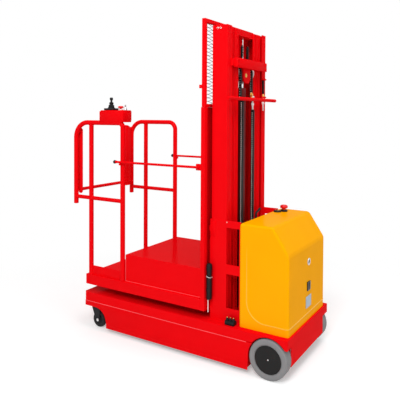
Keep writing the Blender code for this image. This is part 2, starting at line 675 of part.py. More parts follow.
# Platform
def build_pan():
    pockets = []
    length = PAN_FRONT_X - PAN_REAR_X
    bay = (length - PAN_T * (PAN_RIBS + 2)) / (PAN_RIBS + 1)
    for i in range(PAN_RIBS + 1):
        x = PAN_REAR_X + PAN_T + i * (bay + PAN_T)
        pockets.append(block(x, x + bay, -PAN_HALF_W + PAN_T, PAN_HALF_W - PAN_T, PAN_Z0 - 0.01, PAN_Z1 - PAN_T))
    for name, side in SIDES:
        notch = mirrored(side, PAN_HALF_W - BACK_TUBE - GAP, PAN_HALF_W + 0.01)
        pockets.append(block(PAN_REAR_X - 0.01, BACK_FRONT_X + GAP, *notch, PAN_Z0 - 0.01, PAN_Z1 + 0.01))
    piece("platform_pan", "red_paint",
          block(PAN_REAR_X, PAN_FRONT_X, -PAN_HALF_W, PAN_HALF_W, PAN_Z0, PAN_Z1), cut=pockets)
    foot = PAN_Z1 + GAP
    piece("raised_deck", "red_paint", block(STEP_REAR_X, STEP_FRONT_X, -STEP_HALF_W, STEP_HALF_W, foot, STEP_Z),
          cut=[block(STEP_REAR_X + PAN_T, STEP_FRONT_X - PAN_T, -STEP_HALF_W + PAN_T, STEP_HALF_W - PAN_T,
                     foot - 0.01, STEP_Z - PAN_T)])
    for name, side in SIDES:
        span = mirrored(side, RAIL_Y - 0.002, RAIL_Y + 0.002)
        piece(f"toe_board_{name}", "red_paint",
              block(POST_REAR_X + TUBE_R + GAP, POST_FRONT_X - TUBE_R - GAP, *span, foot, TOE_Z))


def build_rails():
    foot = PAN_Z1 + GAP
    for name, side in SIDES:
        y = side * RAIL_Y
        hoop = rounded_path(
            ((POST_REAR_X, y, foot), (POST_REAR_X, y, RAIL_TOP_Z), (LEG_X, y, RAIL_TOP_Z), (LEG_X, y, LEG_Z)),
            (BEND_REAR_R, BEND_FRONT_R))
        catch = mirrored(side, RAIL_Y + TUBE_R * 0.6, DROP_BAR_Y + DROP_BAR_R * 0.5)
        piece(f"guard_rail_{name}", "red_paint", tube(hoop, TUBE_R), smooth=False, add=[
            straight((POST_FRONT_X, y, foot), (POST_FRONT_X, y, RAIL_TOP_Z), TUBE_R * 0.98),
            straight((POST_REAR_X, y, RAIL_MID_Z), (LEG_X, y, RAIL_MID_Z), MID_TUBE_R),
            block(GATE_X - 0.012, GATE_X + 0.012, *mirrored(side, RAIL_Y - TUBE_R, RAIL_Y), GATE_PIVOT_Z - 0.012,
                  GATE_PIVOT_Z + 0.012),
            block(POST_REAR_X - 0.008, POST_REAR_X + 0.008, *catch, BAR_PIVOT_Z - DROP_BAR_R - 0.014,
                  BAR_PIVOT_Z - DROP_BAR_R - GAP),
        ])


def build_backrest():
    """Two square posts at the pan's rear corners with a sheet between them, and the mesh guard on top."""
    foot = PAN_Z1 + GAP
    back = BACK_FRONT_X - BACK_TUBE
    inside = PAN_HALF_W - BACK_TUBE
    joins = [block(PANEL_X, PANEL_X + PANEL_T, -inside - 0.01, inside + 0.01, foot + 0.01, BACK_TOP_Z - 0.01)]
    for low, high in ((foot, foot + 0.040), (BACK_TOP_Z - BACK_TUBE, BACK_TOP_Z)):
        joins.append(block(PANEL_X, BACK_FRONT_X, -inside - 0.01, inside + 0.01, low, high))
    joins.append(block(back, BACK_FRONT_X, -PAN_HALF_W, -inside, PAN_Z0, BACK_TOP_Z))
    for name, side in SIDES:
        span = mirrored(side, PAN_HALF_W - 0.015, DROP_BAR_Y - DROP_BAR_R - 0.001)
        joins.append(block(BACK_FRONT_X - 0.010, BAR_PIVOT_X + 0.015, *span, BAR_PIVOT_Z - 0.020, BAR_PIVOT_Z + 0.020))
    piece("backrest", "red_paint", block(back, BACK_FRONT_X, inside, PAN_HALF_W, PAN_Z0, BACK_TOP_Z), add=joins)
    low = BACK_TOP_Z + GAP
    x1 = BACK_FRONT_X - (BACK_TUBE - GUARD_TUBE) / 2
    x0 = x1 - GUARD_TUBE
    outside = PAN_HALF_W - (BACK_TUBE - GUARD_TUBE) / 2
    joins = [
        block(x0, x1, -outside + 0.01, outside - 0.01, GUARD_TOP_Z - GUARD_TUBE, GUARD_TOP_Z),
        block(x0, x1, -outside + 0.01, outside - 0.01, low, low + 0.020),
        block(x0, x1, -outside, -outside + GUARD_TUBE, low, GUARD_TOP_Z),
    ]
    piece("guard_frame", "red_paint", block(x0, x1, outside - GUARD_TUBE, outside, low, GUARD_TOP_Z), add=joins)
    build_mesh(x1 + GAP + MESH_T, low + 0.004, GUARD_TOP_Z - 0.012, outside - 0.012)


def build_mesh(x, low, high, half):
    """Expanded metal: rows of diamond holes, each ringed by four strands that its neighbours share."""
    wide = 2 * half / MESH_COLUMNS
    tall = (high - low) / MESH_ROWS
    shape = bmesh.new()

    def ring(cell):
        """One cell's outline and the hole inside it, joined by flat strands."""
        middle_y = sum(y for y, z in cell) / len(cell)
        middle_z = sum(z for y, z in cell) / len(cell)
        reach = min(math.hypot(y - middle_y, z - middle_z) for y, z in cell)
        share = 1 - MESH_STRAND / reach
        outer = []
        inner = []
        for y, z in cell:
            outer.append(shape.verts.new((x, y, z)))
            inner.append(shape.verts.new((x, middle_y + (y - middle_y) * share, middle_z + (z - middle_z) * share)))
        for i in range(len(cell)):
            j = (i + 1) % len(cell)
            shape.faces.new((outer[i], outer[j], inner[j], inner[i]))

    for row in range(2 * MESH_ROWS + 1):
        shift = (row % 2) / 2
        for column in range(MESH_COLUMNS + 1 - row % 2):
            y = -half + (column + shift) * wide
            z = low + row * tall / 2
            corners = ((y - wide / 2, z), (y, z + tall / 2), (y + wide / 2, z), (y, z - tall / 2))
            inside = [p for p in corners if abs(p[0]) < half + 1e-6 and low - 1e-6 < p[1] < high + 1e-6]
            if len(inside) == 2:
                inside.append((y, z))
            ring(inside)
    bmesh.ops.remove_doubles(shape, verts=shape.verts, dist=1e-5)
    bmesh.ops.recalc_face_normals(shape, faces=shape.faces)
    if sum(face.normal.x for face in shape.faces) < 0:
        bmesh.ops.reverse_faces(shape, faces=shape.faces)
    copy = bmesh.ops.extrude_face_region(shape, geom=list(shape.faces))
    moved = [item for item in copy["geom"] if isinstance(item, bmesh.types.BMVert)]
    bmesh.ops.translate(shape, verts=moved, vec=(-MESH_T, 0, 0))
    bmesh.ops.recalc_face_normals(shape, faces=shape.faces)
    piece("guard_mesh", "red_paint", shape)


def build_carriage():
    """The plate behind the backrest, with cheeks that reach between the inner uprights and roll in them."""
    front = PANEL_X - GAP
    rear = front - 0.008
    low = PAN_Z1 + GAP
    inner_flange = CHANNEL_T + RUN + CHANNEL_T
    roller_r = (MAST_DEPTH - 2 * inner_flange) / 2 - ROLL_FIT
    cheek_y = INNER_EDGE_Y - RUN
    joins = []
    for name, side in SIDES:
        cheek = mirrored(side, cheek_y - 0.012, cheek_y)
        joins.append(block(CYL_X - 0.021, rear + 0.002, *cheek, low + 0.020, CARRIAGE_TOP_Z))
        for z in (LUG_Z, CARRIAGE_TOP_Z - 0.050):
            joins.append(cylinder("Y", (CYL_X, z), roller_r, *mirrored(side, cheek_y - 0.004, INNER_WEB_Y - RUN), 24))
        joins.append(block(CYL_X + CHAIN_R - CHAIN_H / 2, rear + 0.002,
                           *mirrored(side, CHAIN_Y - CHAIN_W / 2, CHAIN_Y + CHAIN_W / 2), LUG_Z - 0.045, LUG_Z))
    piece("carriage", "red_paint", block(rear, front, -0.250, 0.250, low, CARRIAGE_TOP_Z), add=joins)
    strut_y = MAST_OUT_Y + GAP + BRACE_T + RUN + STRUT_R
    clamps = []
    for z in (STRUT_TOP_Z - 0.030, low + 0.060):
        clamps.append(block(STRUT_X, BACK_FRONT_X - BACK_TUBE - GAP, strut_y - 0.008, strut_y + 0.008, z - 0.012, z + 0.012))
    piece("buffer_strut", "black_plastic", cylinder("Z", (STRUT_X, strut_y), STRUT_R, low, STRUT_TOP_Z, 20), add=clamps)


def build_controls():
    low = RAIL_TOP_Z + TUBE_R * math.cos(math.pi / TUBE_SIDES) + GAP
    top = low + BOX_H
    piece("control_box", "red_paint", block(BOX_REAR_X, BOX_FRONT_X, BOX_IN_Y, BOX_OUT_Y, low, top))
    middle = (BOX_IN_Y + BOX_OUT_Y) / 2
    top = top + GAP
    piece("joystick", "black_plastic", block(0.545, 0.630, middle - 0.032, middle + 0.032, top, top + 0.014), add=[
        cylinder("Z", (0.588, middle), 0.018, top + 0.010, top + 0.045, 20),
        cylinder("Z", (0.588, middle), 0.007, top + 0.040, top + 0.070, 12),
        cylinder("Z", (0.588, middle), 0.012, top + 0.066, top + 0.090, 16),
    ])
    piece("platform_stop_button", "red_plastic", cylinder("Z", (0.500, middle), 0.020, top + 0.016, top + 0.030, 24),
          add=[cylinder("Z", (0.500, middle), 0.012, top, top + 0.018, 20)])
    piece("platform_key_switch", "steel", cylinder("Z", (0.458, middle), 0.012, top, top + 0.020, 20),
          add=[block(0.455, 0.461, middle - 0.010, middle + 0.010, top + 0.018, top + 0.038)])


def build_gate():
    """Two flat arms that hang from the rails' front bends, joined by a tube at waist height."""
    inside = RAIL_Y - TUBE_R - RUN
    pin_z = GATE_PIVOT_Z
    low = GATE_LOW_Z - 0.030
    joins = []
    for name, side in SIDES:
        span = mirrored(side, inside - GATE_ARM_T, inside)
        if side < 0:
            joins.append(block(GATE_X - GATE_ARM_W / 2, GATE_X + GATE_ARM_W / 2, *span, low, pin_z + 0.020))
        joins.append(cylinder("Y", (GATE_X, pin_z), 0.008, *mirrored(side, inside - 0.002, RAIL_Y - TUBE_R - GAP), 16))
    joins.append(straight((GATE_X, -inside + 0.003, GATE_LOW_Z), (GATE_X, inside - 0.003, GATE_LOW_Z), 0.012))
    piece("entry_gate", "red_paint",
          block(GATE_X - GATE_ARM_W / 2, GATE_X + GATE_ARM_W / 2, inside - GATE_ARM_T, inside, low, pin_z + 0.020),
          add=joins, pivot=(GATE_X, 0, pin_z))


def build_drop_bars():
    for name, side in SIDES:
        y = side * DROP_BAR_Y
        ball = bmesh.new()
        bmesh.ops.create_icosphere(ball, subdivisions=2, radius=KNOB_R)
        bmesh.ops.translate(ball, verts=ball.verts, vec=(DROP_BAR_END_X, y, BAR_PIVOT_Z))
        piece(f"drop_bar_{name}", "red_paint",
              straight((BAR_PIVOT_X - 0.012, y, BAR_PIVOT_Z), (DROP_BAR_END_X, y, BAR_PIVOT_Z), DROP_BAR_R),
              add=[ball], pivot=(BAR_PIVOT_X, y, BAR_PIVOT_Z))


build_base()
build_drive_wheels()
build_castors()
build_outer_mast()
build_inner_mast()
build_lift()
build_power_unit()
build_pan()
build_rails()
build_backrest()
build_carriage()
build_controls()
build_gate()
build_drop_bars()

for made in list(PARTS.objects) + list(CUTTERS.objects):
    made.location.x += SHIFT_X
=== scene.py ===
"""The looks of the order picker truck: finishes, rounded edges, chains, controls and small fittings."""
import json
import math

import bmesh
import bpy
from mathutils import Matrix, Vector


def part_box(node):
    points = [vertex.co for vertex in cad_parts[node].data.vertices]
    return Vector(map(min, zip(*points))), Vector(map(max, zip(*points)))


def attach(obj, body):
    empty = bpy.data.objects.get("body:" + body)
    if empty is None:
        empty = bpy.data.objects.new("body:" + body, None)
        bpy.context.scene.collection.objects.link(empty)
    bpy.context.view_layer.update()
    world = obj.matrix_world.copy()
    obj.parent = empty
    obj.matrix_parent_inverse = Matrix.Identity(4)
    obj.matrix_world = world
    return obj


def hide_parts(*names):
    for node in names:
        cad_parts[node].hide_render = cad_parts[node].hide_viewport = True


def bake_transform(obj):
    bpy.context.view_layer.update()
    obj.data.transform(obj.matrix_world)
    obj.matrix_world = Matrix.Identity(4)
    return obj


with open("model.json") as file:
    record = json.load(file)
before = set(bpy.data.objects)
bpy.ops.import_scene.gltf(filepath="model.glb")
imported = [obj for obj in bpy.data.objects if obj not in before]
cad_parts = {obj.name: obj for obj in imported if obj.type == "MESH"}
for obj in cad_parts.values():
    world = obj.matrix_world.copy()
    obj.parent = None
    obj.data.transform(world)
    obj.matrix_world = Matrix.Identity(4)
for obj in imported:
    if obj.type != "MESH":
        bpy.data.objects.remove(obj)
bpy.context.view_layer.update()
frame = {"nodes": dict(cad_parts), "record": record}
SIDES = (("left", 1), ("right", -1))
UP = Vector((0, 0, 1))
BACK = Vector((-1, 0, 0))


# Places read from the frame
def low(node):
    return Vector(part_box(node)[0])


def high(node):
    return Vector(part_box(node)[1])


def corners(node):
    return low(node), high(node)


def middle(node):
    return (low(node) + high(node)) / 2


def foot_of(node):
    """The middle of a node's underside."""
    spot = middle(node)
    spot.z = low(node).z
    return spot


def face_y(node, way):
    """The y of a node's left face (way 1) or right face (way -1)."""
    return high(node).y if way > 0 else low(node).y


SHIFT_X = middle("deck_tray").x     # the base's middle; sizes measured in the photograph start there


def at(x, y, z):
    return Vector((x + SHIFT_X, y, z))


# Camera: fitted to the edges of the base, cover, rails and mast in the photograph
PHOTO = 400
FOCAL_PX = 512.08
HORIZON_ROW = 127.93
CAMERA_AT = at(-1.8697, 3.0605, 1.5319)
YAW, PITCH, ROLL = (math.radians(a) for a in (-58.276, -1.3287, 0.289))


def make_camera():
    data = bpy.data.cameras.new("camera")
    data.sensor_width = 36.0
    data.lens = FOCAL_PX * data.sensor_width / PHOTO
    data.shift_y = (HORIZON_ROW - PHOTO / 2) / PHOTO
    camera = bpy.data.objects.new("camera", data)
    ahead = Vector((math.cos(YAW) * math.cos(PITCH), math.sin(YAW) * math.cos(PITCH), math.sin(PITCH)))
    right = ahead.cross(UP).normalized()
    up = right.cross(ahead)
    right, up = right * math.cos(ROLL) + up * math.sin(ROLL), up * math.cos(ROLL) - right * math.sin(ROLL)
    turn = Matrix((right, up, -ahead)).transposed()
    camera.matrix_world = Matrix.Translation(CAMERA_AT) @ turn.to_4x4()
    bpy.context.scene.collection.objects.link(camera)
    bpy.context.scene.camera = camera


# Node materials
def add_node(tree, kind, values=(), **settings):
    """A new shader node; each socket in values takes a number, or a link from another node's output."""
    made = tree.nodes.new(f"ShaderNode{kind}")
    for setting, value in settings.items():
        setattr(made, setting, value)
    for socket, value in dict(values).items():
        if isinstance(value, bpy.types.NodeSocket):
            tree.links.new(value, made.inputs[socket])
        else:
            made.inputs[socket].default_value = value
    return made


def shader_of(name, color, rough, metal=0.0, shine=0.5, coat=0.0):
    """A new material, its node tree and its Principled shader."""
    material = bpy.data.materials.new(name)
    material.use_nodes = True
    tree = material.node_tree
    shader = tree.nodes["Principled BSDF"]
    shader.inputs["Base Color"].default_value = (*color, 1)
    shader.inputs["Roughness"].default_value = rough
    shader.inputs["Metallic"].default_value = metal
    shader.inputs["Specular IOR Level"].default_value = shine
    shader.inputs["Coat Weight"].default_value = coat
    shader.inputs["Coat Roughness"].default_value = 0.2
    return material, tree, shader


def noise(tree, scale, detail, stretch=None):
    """Noise in the object's own coordinates, optionally stretched along an axis."""
    place = add_node(tree, "TexCoord").outputs["Object"]
    if stretch:
        place = add_node(tree, "Mapping", {"Vector": place, "Scale": stretch}).outputs["Vector"]
    return add_node(tree, "TexNoise", {"Vector": place, "Scale": scale, "Detail": detail}).outputs["Fac"]


NOISE_LOW, NOISE_HIGH = 0.3, 0.7     # where nearly all of a noise's values lie


def tones(tree, fac, dark, light):
    """A colour between two tones, by a noise."""
    made = add_node(tree, "ValToRGB", {"Fac": fac})
    for element, position, color in zip(made.color_ramp.elements, (NOISE_LOW, NOISE_HIGH), (dark, light)):
        element.position = position
        element.color = (*color, 1)
    return made.outputs["Color"]


def spread(tree, fac, least, most):
    """A number between two limits, by a noise."""
    limits = {"From Min": NOISE_LOW, "From Max": NOISE_HIGH, "To Min": least, "To Max": most}
    return add_node(tree, "MapRange", {"Value": fac, **limits}).outputs["Result"]


def surface(name, color, rough, grain, metal=0.0, shine=0.5, coat=0.0, depth=0.0002, vary=0.08, stretch=None,
            patch=6.0):
    """A finish with a slow change of tone, a roughness that varies and a fine grain in relief."""
    material, tree, shader = shader_of(name, color, rough, metal, shine, coat)
    darker = tuple(c * (1 - vary) for c in color)
    tone = tones(tree, noise(tree, patch, 4.0, stretch), darker, color)
    tree.links.new(tone, shader.inputs["Base Color"])
    dull = spread(tree, noise(tree, patch * 5, 5.0), rough * 0.85, min(1.0, rough * 1.2))
    tree.links.new(dull, shader.inputs["Roughness"])
    height = noise(tree, grain, 2.0, stretch)
    relief = add_node(tree, "Bump", {"Height": height, "Distance": depth, "Strength": 0.5})
    tree.links.new(relief.outputs["Normal"], shader.inputs["Normal"])
    return material


FINISHES = (         # slot or finish, material, colour, roughness, grain, the rest
    ("red_paint", "red_powder_coat", (0.87, 0.002, 0.005), 0.42, 900,
     dict(shine=0.0, coat=0.06, depth=0.0001, vary=0.05)),
    ("yellow_paint", "yellow_moulding", (1.0, 0.42, 0.0), 0.42, 500, dict(shine=0.0, coat=0.08, vary=0.04)),
    # The lift cylinder's dark red below is as dark as the barrel looks between the uprights, far darker than
    # the red paint.
    ("dark_paint", "cylinder_dark_red", (0.16, 0.003, 0.003), 0.45, 700, dict(shine=0.2, vary=0.2)),
    ("black_plastic", "black_plastic", (0.010, 0.010, 0.011), 0.5, 800,
     dict(shine=0.2, depth=0.0003, vary=0.2)),
    ("red_plastic", "button_red", (0.80, 0.006, 0.008), 0.25, 600, dict(shine=0.4, vary=0.05)),
    ("steel", "bright_steel", (0.68, 0.68, 0.69), 0.27, 300, dict(metal=1.0, vary=0.1, stretch=(1, 1, 0.05))),
    ("chain_steel", "oiled_chain", (0.016, 0.015, 0.015), 0.45, 500,
     dict(metal=0.3, shine=0.2, vary=0.3, patch=60)),
    ("grey_rubber", "grey_tyre_rubber", (0.25, 0.25, 0.255), 0.75, 700,
     dict(shine=0.25, depth=0.0004, vary=0.10, patch=14)),
    ("dark_hub", "hub_paint", (0.014, 0.014, 0.014), 0.5, 700, dict(shine=0.15, vary=0.15)),
    ("battery_grey", "battery_case", (0.08, 0.08, 0.08), 0.6, 500, dict(vary=0.1)),
    ("plate_grey", "plate_finish", (0.36, 0.46, 0.56), 0.35, 400, dict(vary=0.1)),
    ("tyre_black", "castor_tyre", (0.018, 0.018, 0.018), 0.7, 700, dict(shine=0.25, vary=0.2, patch=40)),
    ("white_plastic", "white_plastic", (0.80, 0.80, 0.79), 0.4, 600, dict(vary=0.04, patch=30)),
    ("brass", "yellow_zinc", (0.80, 0.50, 0.12), 0.32, 500, dict(metal=1.0, vary=0.2, patch=80)),
    ("zinc", "zinc_plating", (0.74, 0.74, 0.75), 0.34, 600, dict(metal=1.0, vary=0.15, patch=80)),
    # The seams' finish below is a pale pinkish red: a painted highlight where light catches an edge.
    ("seam_painted_highlight", "seam_painted_highlight", (0.95, 0.10, 0.12), 0.35, 300, dict(shine=0.4, coat=0.3)),
    # The bead's finish below is a lighter yellow than the cover: a painted highlight along its moulded line.
    ("bead_painted_highlight", "bead_painted_highlight", (1.0, 0.52, 0.04), 0.35, 300, dict(shine=0.15, coat=0.1)),
    # The chain pins' finish below is a near white, not worn steel: a painted glint that keeps the pins bright
    # in the mast's shade.
    ("chain_pin_glint", "chain_pin_painted_glint", (0.85, 0.83, 0.78), 0.35, 600, dict(shine=0.4, vary=0.2, patch=80)),
    ("sheave_steel", "sheave_steel", (0.80, 0.80, 0.80), 0.42, 600, dict(metal=0.4, vary=0.1, patch=30)),
    # The guard mesh's strands are drawn a dark grey-red, far darker than the red paint of their slot.
    ("mesh_strand_dark", "guard_mesh_dark_strands", (0.10, 0.045, 0.045), 0.5, 900, dict(shine=0.2, vary=0.3, patch=60)),
)
MATERIALS = {}


def make_materials():
    for key, *values, rest in FINISHES:
        MATERIALS[key] = surface(*values, **rest)


def slot_of(node):
    for part in frame["record"]["subparts"]:
        if part["node"] == node:
            return part["material_slot"]
    return None


def body_of_node(node):
    for body, nodes in frame["record"]["behaviour"]["bodies"].items():
        if node in nodes:
            return body
    return None


# Meshes
def link(name, mesh, slot_name, body=None, finish=None, angle=38, replaces=()):
    """A piece from a mesh: its finish, its record slot, its body and the CAD nodes it stands for."""
    made = bpy.data.objects.new(name, mesh)
    bpy.context.scene.collection.objects.link(made)
    mesh.materials.clear()
    mesh.materials.append(MATERIALS[finish or slot_name])
    mesh.shade_smooth()
    mesh.set_sharp_from_angle(angle=math.radians(angle))
    if replaces:
        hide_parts(*replaces)
    if body:
        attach(made, body)
    return made


def mesh_of(name, shape):
    """A mesh from a bmesh, which is freed."""
    mesh = bpy.data.meshes.new(name)
    shape.to_mesh(mesh)
    shape.free()
    return mesh


def merged(target, extra):
    """Adds one bmesh to another."""
    bmesh.ops.recalc_face_normals(extra, faces=extra.faces)
    mesh = mesh_of("scrap", extra)
    target.from_mesh(mesh)
    bpy.data.meshes.remove(mesh)


def soften(shape, width):
    """Rounds the edges of a bmesh that turn by more than 30 degrees."""
    edges = [e for e in shape.edges if len(e.link_faces) == 2 and e.calc_face_angle(0) > math.radians(30)]
    if width > 0 and edges:
        bmesh.ops.bevel(shape, geom=edges, offset=width, segments=2, profile=0.5, affect="EDGES",
                        clamp_overlap=True)
    return shape


def arc(centre, radius, start, stop, steps, other=None):
    """Points on an arc between two angles in degrees; other is an ellipse's second radius."""
    other = radius if other is None else other
    turns = [math.radians(start + (stop - start) * i / steps) for i in range(steps + 1)]
    return [(centre[0] + radius * math.cos(turn), centre[1] + other * math.sin(turn)) for turn in turns]


def frame_along(axis):
    """Two directions square to an axis."""
    axis = axis.normalized()
    side = axis.cross(UP) if abs(axis.z) < 0.9 else axis.cross(Vector((1, 0, 0)))
    side.normalize()
    return side, side.cross(axis).normalized()


def ring_round(shape, centre, side, other, radius, segments):
    """A ring of new vertices about a centre, in the plane of two directions."""
    row = []
    for i in range(segments):
        turn = 2 * math.pi * i / segments
        row.append(shape.verts.new(centre + (side * math.cos(turn) + other * math.sin(turn)) * radius))
    return row


def skin(shape, rows, closed):
    """Faces between neighbouring rings of vertices; a ring's vertices may be one and the same."""
    pairs = list(zip(rows, rows[1:])) + ([(rows[-1], rows[0])] if closed else [])
    for here, after in pairs:
        for i in range(len(here)):
            j = (i + 1) % len(here)
            around = dict.fromkeys((here[i], here[j], after[j], after[i]))
            if len(around) > 2:
                shape.faces.new(list(around))


def prism(shape, rings):
    """A solid between two rings of points."""
    first, last = ([shape.verts.new(point) for point in ring] for ring in rings)
    shape.faces.new(first)
    shape.faces.new(last[::-1])
    for i in range(len(first)):
        j = (i + 1) % len(first)
        shape.faces.new((first[j], first[i], last[i], last[j]))


class Batch:
    """Many small solids gathered into one piece."""

    def __init__(self, name, slot_name, body, finish=None, angle=38):
        self.name, self.slot_name, self.body, self.finish, self.angle = name, slot_name, body, finish, angle
        self.shape = bmesh.new()

    def box(self, a, b, soft=0.0):
        shape = bmesh.new()
        bmesh.ops.create_cube(shape, size=1)
        for v in shape.verts:
            v.co = Vector(min(a[i], b[i]) if v.co[i] < 0 else max(a[i], b[i]) for i in range(3))
        merged(self.shape, soften(shape, soft))
        return self

    def plate(self, outline, axis, a, b, soft=0.0):
        """An outline extruded along an axis; its points leave that axis out, in the order X, Y, Z."""
        index = "XYZ".index(axis)
        shape = bmesh.new()
        prism(shape, [[(*point[:index], level, *point[index:]) for point in outline] for level in (a, b)])
        bmesh.ops.recalc_face_normals(shape, faces=shape.faces)
        merged(self.shape, soften(shape, soft))
        return self

    def turned(self, profile, centre, axis, segments=32, ring=False):
        """A profile of (radius, distance along an axis) turned about it; a ring's profile is closed."""
        shape = bmesh.new()
        axis = Vector(axis).normalized()
        side, other = frame_along(axis)
        rows = []
        for radius, along in profile:
            base = Vector(centre) + axis * along
            if radius < 1e-6:
                rows.append([shape.verts.new(base)] * segments)
            else:
                rows.append(ring_round(shape, base, side, other, radius, segments))
        skin(shape, rows, ring)
        merged(self.shape, shape)
        return self

    def rod(self, a, b, radius, segments=20, soft=None):
        """A round bar with chamfered ends."""
        a, b = Vector(a), Vector(b)
        length = (b - a).length
        soft = min(radius * 0.25, length * 0.2) if soft is None else soft
        return self.turned(((0, 0), (radius - soft, 0), (radius, soft), (radius, length - soft),
                            (radius - soft, length), (0, length)), a, b - a, segments)

    def pipe(self, points, radius, segments=20, closed=False):
        """A round bar along a path; the radius may be one number or one for each point."""
        points = [Vector(p) for p in points]
        count = len(points)
        radii = radius if isinstance(radius, list) else [radius] * count
        shape = bmesh.new()
        rows = []
        side = None
        for i, point in enumerate(points):
            before = points[i - 1] if i > 0 or closed else point
            after = points[(i + 1) % count] if i < count - 1 or closed else point
            along = (after - before).normalized()
            if side is None:
                side = frame_along(along)[0]
            side = (side - along * side.dot(along)).normalized()
            rows.append(ring_round(shape, point, side, side.cross(along), radii[i], segments))
        skin(shape, rows, closed)
        if not closed:
            shape.faces.new(rows[0][::-1])
            shape.faces.new(rows[-1])
        merged(self.shape, shape)
        return self

    def hex_head(self, spot, out, across, height, washer=True):
        """A hexagon bolt head on its washer, standing out along a direction."""
        out = Vector(out).normalized()
        base = Vector(spot)
        if washer:
            rim, thick = across * 0.98, 0.0014
            self.turned(((0, 0), (rim, 0), (across * 1.02, 0.0006), (rim, thick), (0, thick)), base, out, 24)
            base = base + out * 0.0012
        radius = across / 2 / math.cos(math.pi / 6)
        return self.turned(((0, 0), (radius, 0), (radius, height * 0.8), (radius * 0.86, height),
                            (0, height)), base, out, 6)

    def nut(self, spot, radius, height, cut):
        """An upright hexagon nut with chamfered ends."""
        rise = 0.002
        return self.turned(((0, 0), (radius - cut, 0), (radius, rise), (radius, height - rise),
                            (radius - cut, height), (0, height)), spot, UP, 6)

    def disc(self, spot, axis, radius, height, segments):
        """A short plain cylinder."""
        return self.turned(((0, 0), (radius, 0), (radius, height), (0, height)), spot, axis, segments)

    def dome(self, spot, out, radius, height, segments=20):
        """A low domed head."""
        return self.turned([(0, 0)] + arc((0, 0), radius, 0, 90, 5, height), spot, out, segments)

    def done(self, *replaces):
        mesh = mesh_of(self.name, self.shape)
        return link(self.name, mesh, self.slot_name, self.body, self.finish, self.angle, replaces)


def bent(points, radii, steps=8):
    """An open path whose inner corners are rounded."""
    path = [Vector(points[0])]
    for i in range(1, len(points) - 1):
        corner = Vector(points[i])
        before = (Vector(points[i - 1]) - corner).normalized()
        after = (Vector(points[i + 1]) - corner).normalized()
        radius = radii[i - 1]
        half = before.angle(after) / 2
        centre = corner + (before + after).normalized() * radius / math.sin(half)
        start = corner + before * radius / math.tan(half) - centre
        end = corner + after * radius / math.tan(half) - centre
        for step in range(steps + 1):
            path.append(centre + start.slerp(end, step / steps) * radius)
    path.append(Vector(points[-1]))
    return path


def dress(node, width, name=None, segments=2, angle=40):
    """A copy of a CAD node with its flat facets merged and its edges rounded."""
    name = name or f"{node}_dressed"
    shape = bmesh.new()
    shape.from_mesh(frame["nodes"][node].data)
    bmesh.ops.remove_doubles(shape, verts=shape.verts, dist=1e-5)
    bmesh.ops.dissolve_limit(shape, angle_limit=math.radians(1.0), verts=shape.verts, edges=shape.edges)
    made = link(name, mesh_of(name, shape), slot_of(node), body_of_node(node), None, 180, (node,))
    step = made.modifiers.new("edges", "BEVEL")
    step.width = width
    step.segments = segments
    step.limit_method = "ANGLE"
    step.angle_limit = math.radians(angle)
    step.use_clamp_overlap = True
    flat = made.modifiers.new("flat faces", "WEIGHTED_NORMAL")
    flat.keep_sharp = False


DRESSED = {          # node: edge radius
    "deck_tray": 0.0025, "rear_apron": 0.001, "chassis_frame": 0.002,
    "mast_brace_left": 0.0015, "mast_brace_right": 0.0015, "platform_pan": 0.0025,
    "raised_deck": 0.003, "toe_board_left": 0.001, "toe_board_right": 0.001, "backrest": 0.002,
    "guard_frame": 0.002, "inner_top_beam": 0.002, "lift_crosshead": 0.0015, "carriage": 0.0015,
    "outer_mast_left": 0.002,
    "outer_mast_right": 0.002, "inner_mast_left": 0.0015, "inner_mast_right": 0.0015, "battery_block": 0.004,
    "castor_fork_left": 0.001, "castor_fork_right": 0.001,
}


def dress_frame():
    for node, obj in frame["nodes"].items():
        obj.data.materials.clear()
        obj.data.materials.append(MATERIALS[slot_of(node)])
    for node, width in DRESSED.items():
        dress(node, width)


# Wheels
HUB_SHARE = 0.709       # a drive wheel's hub radius over its tyre radius
SHOULDER_R = 0.010      # the tyre's rounded shoulders
CASTOR_HUB_SHARE = 0.66


def wheel_sizes(node):
    """A wheel's centre, radius and half width."""
    near, far = corners(node)
    return (near + far) / 2, (far.z - near.z) / 2, (far.y - near.y) / 2


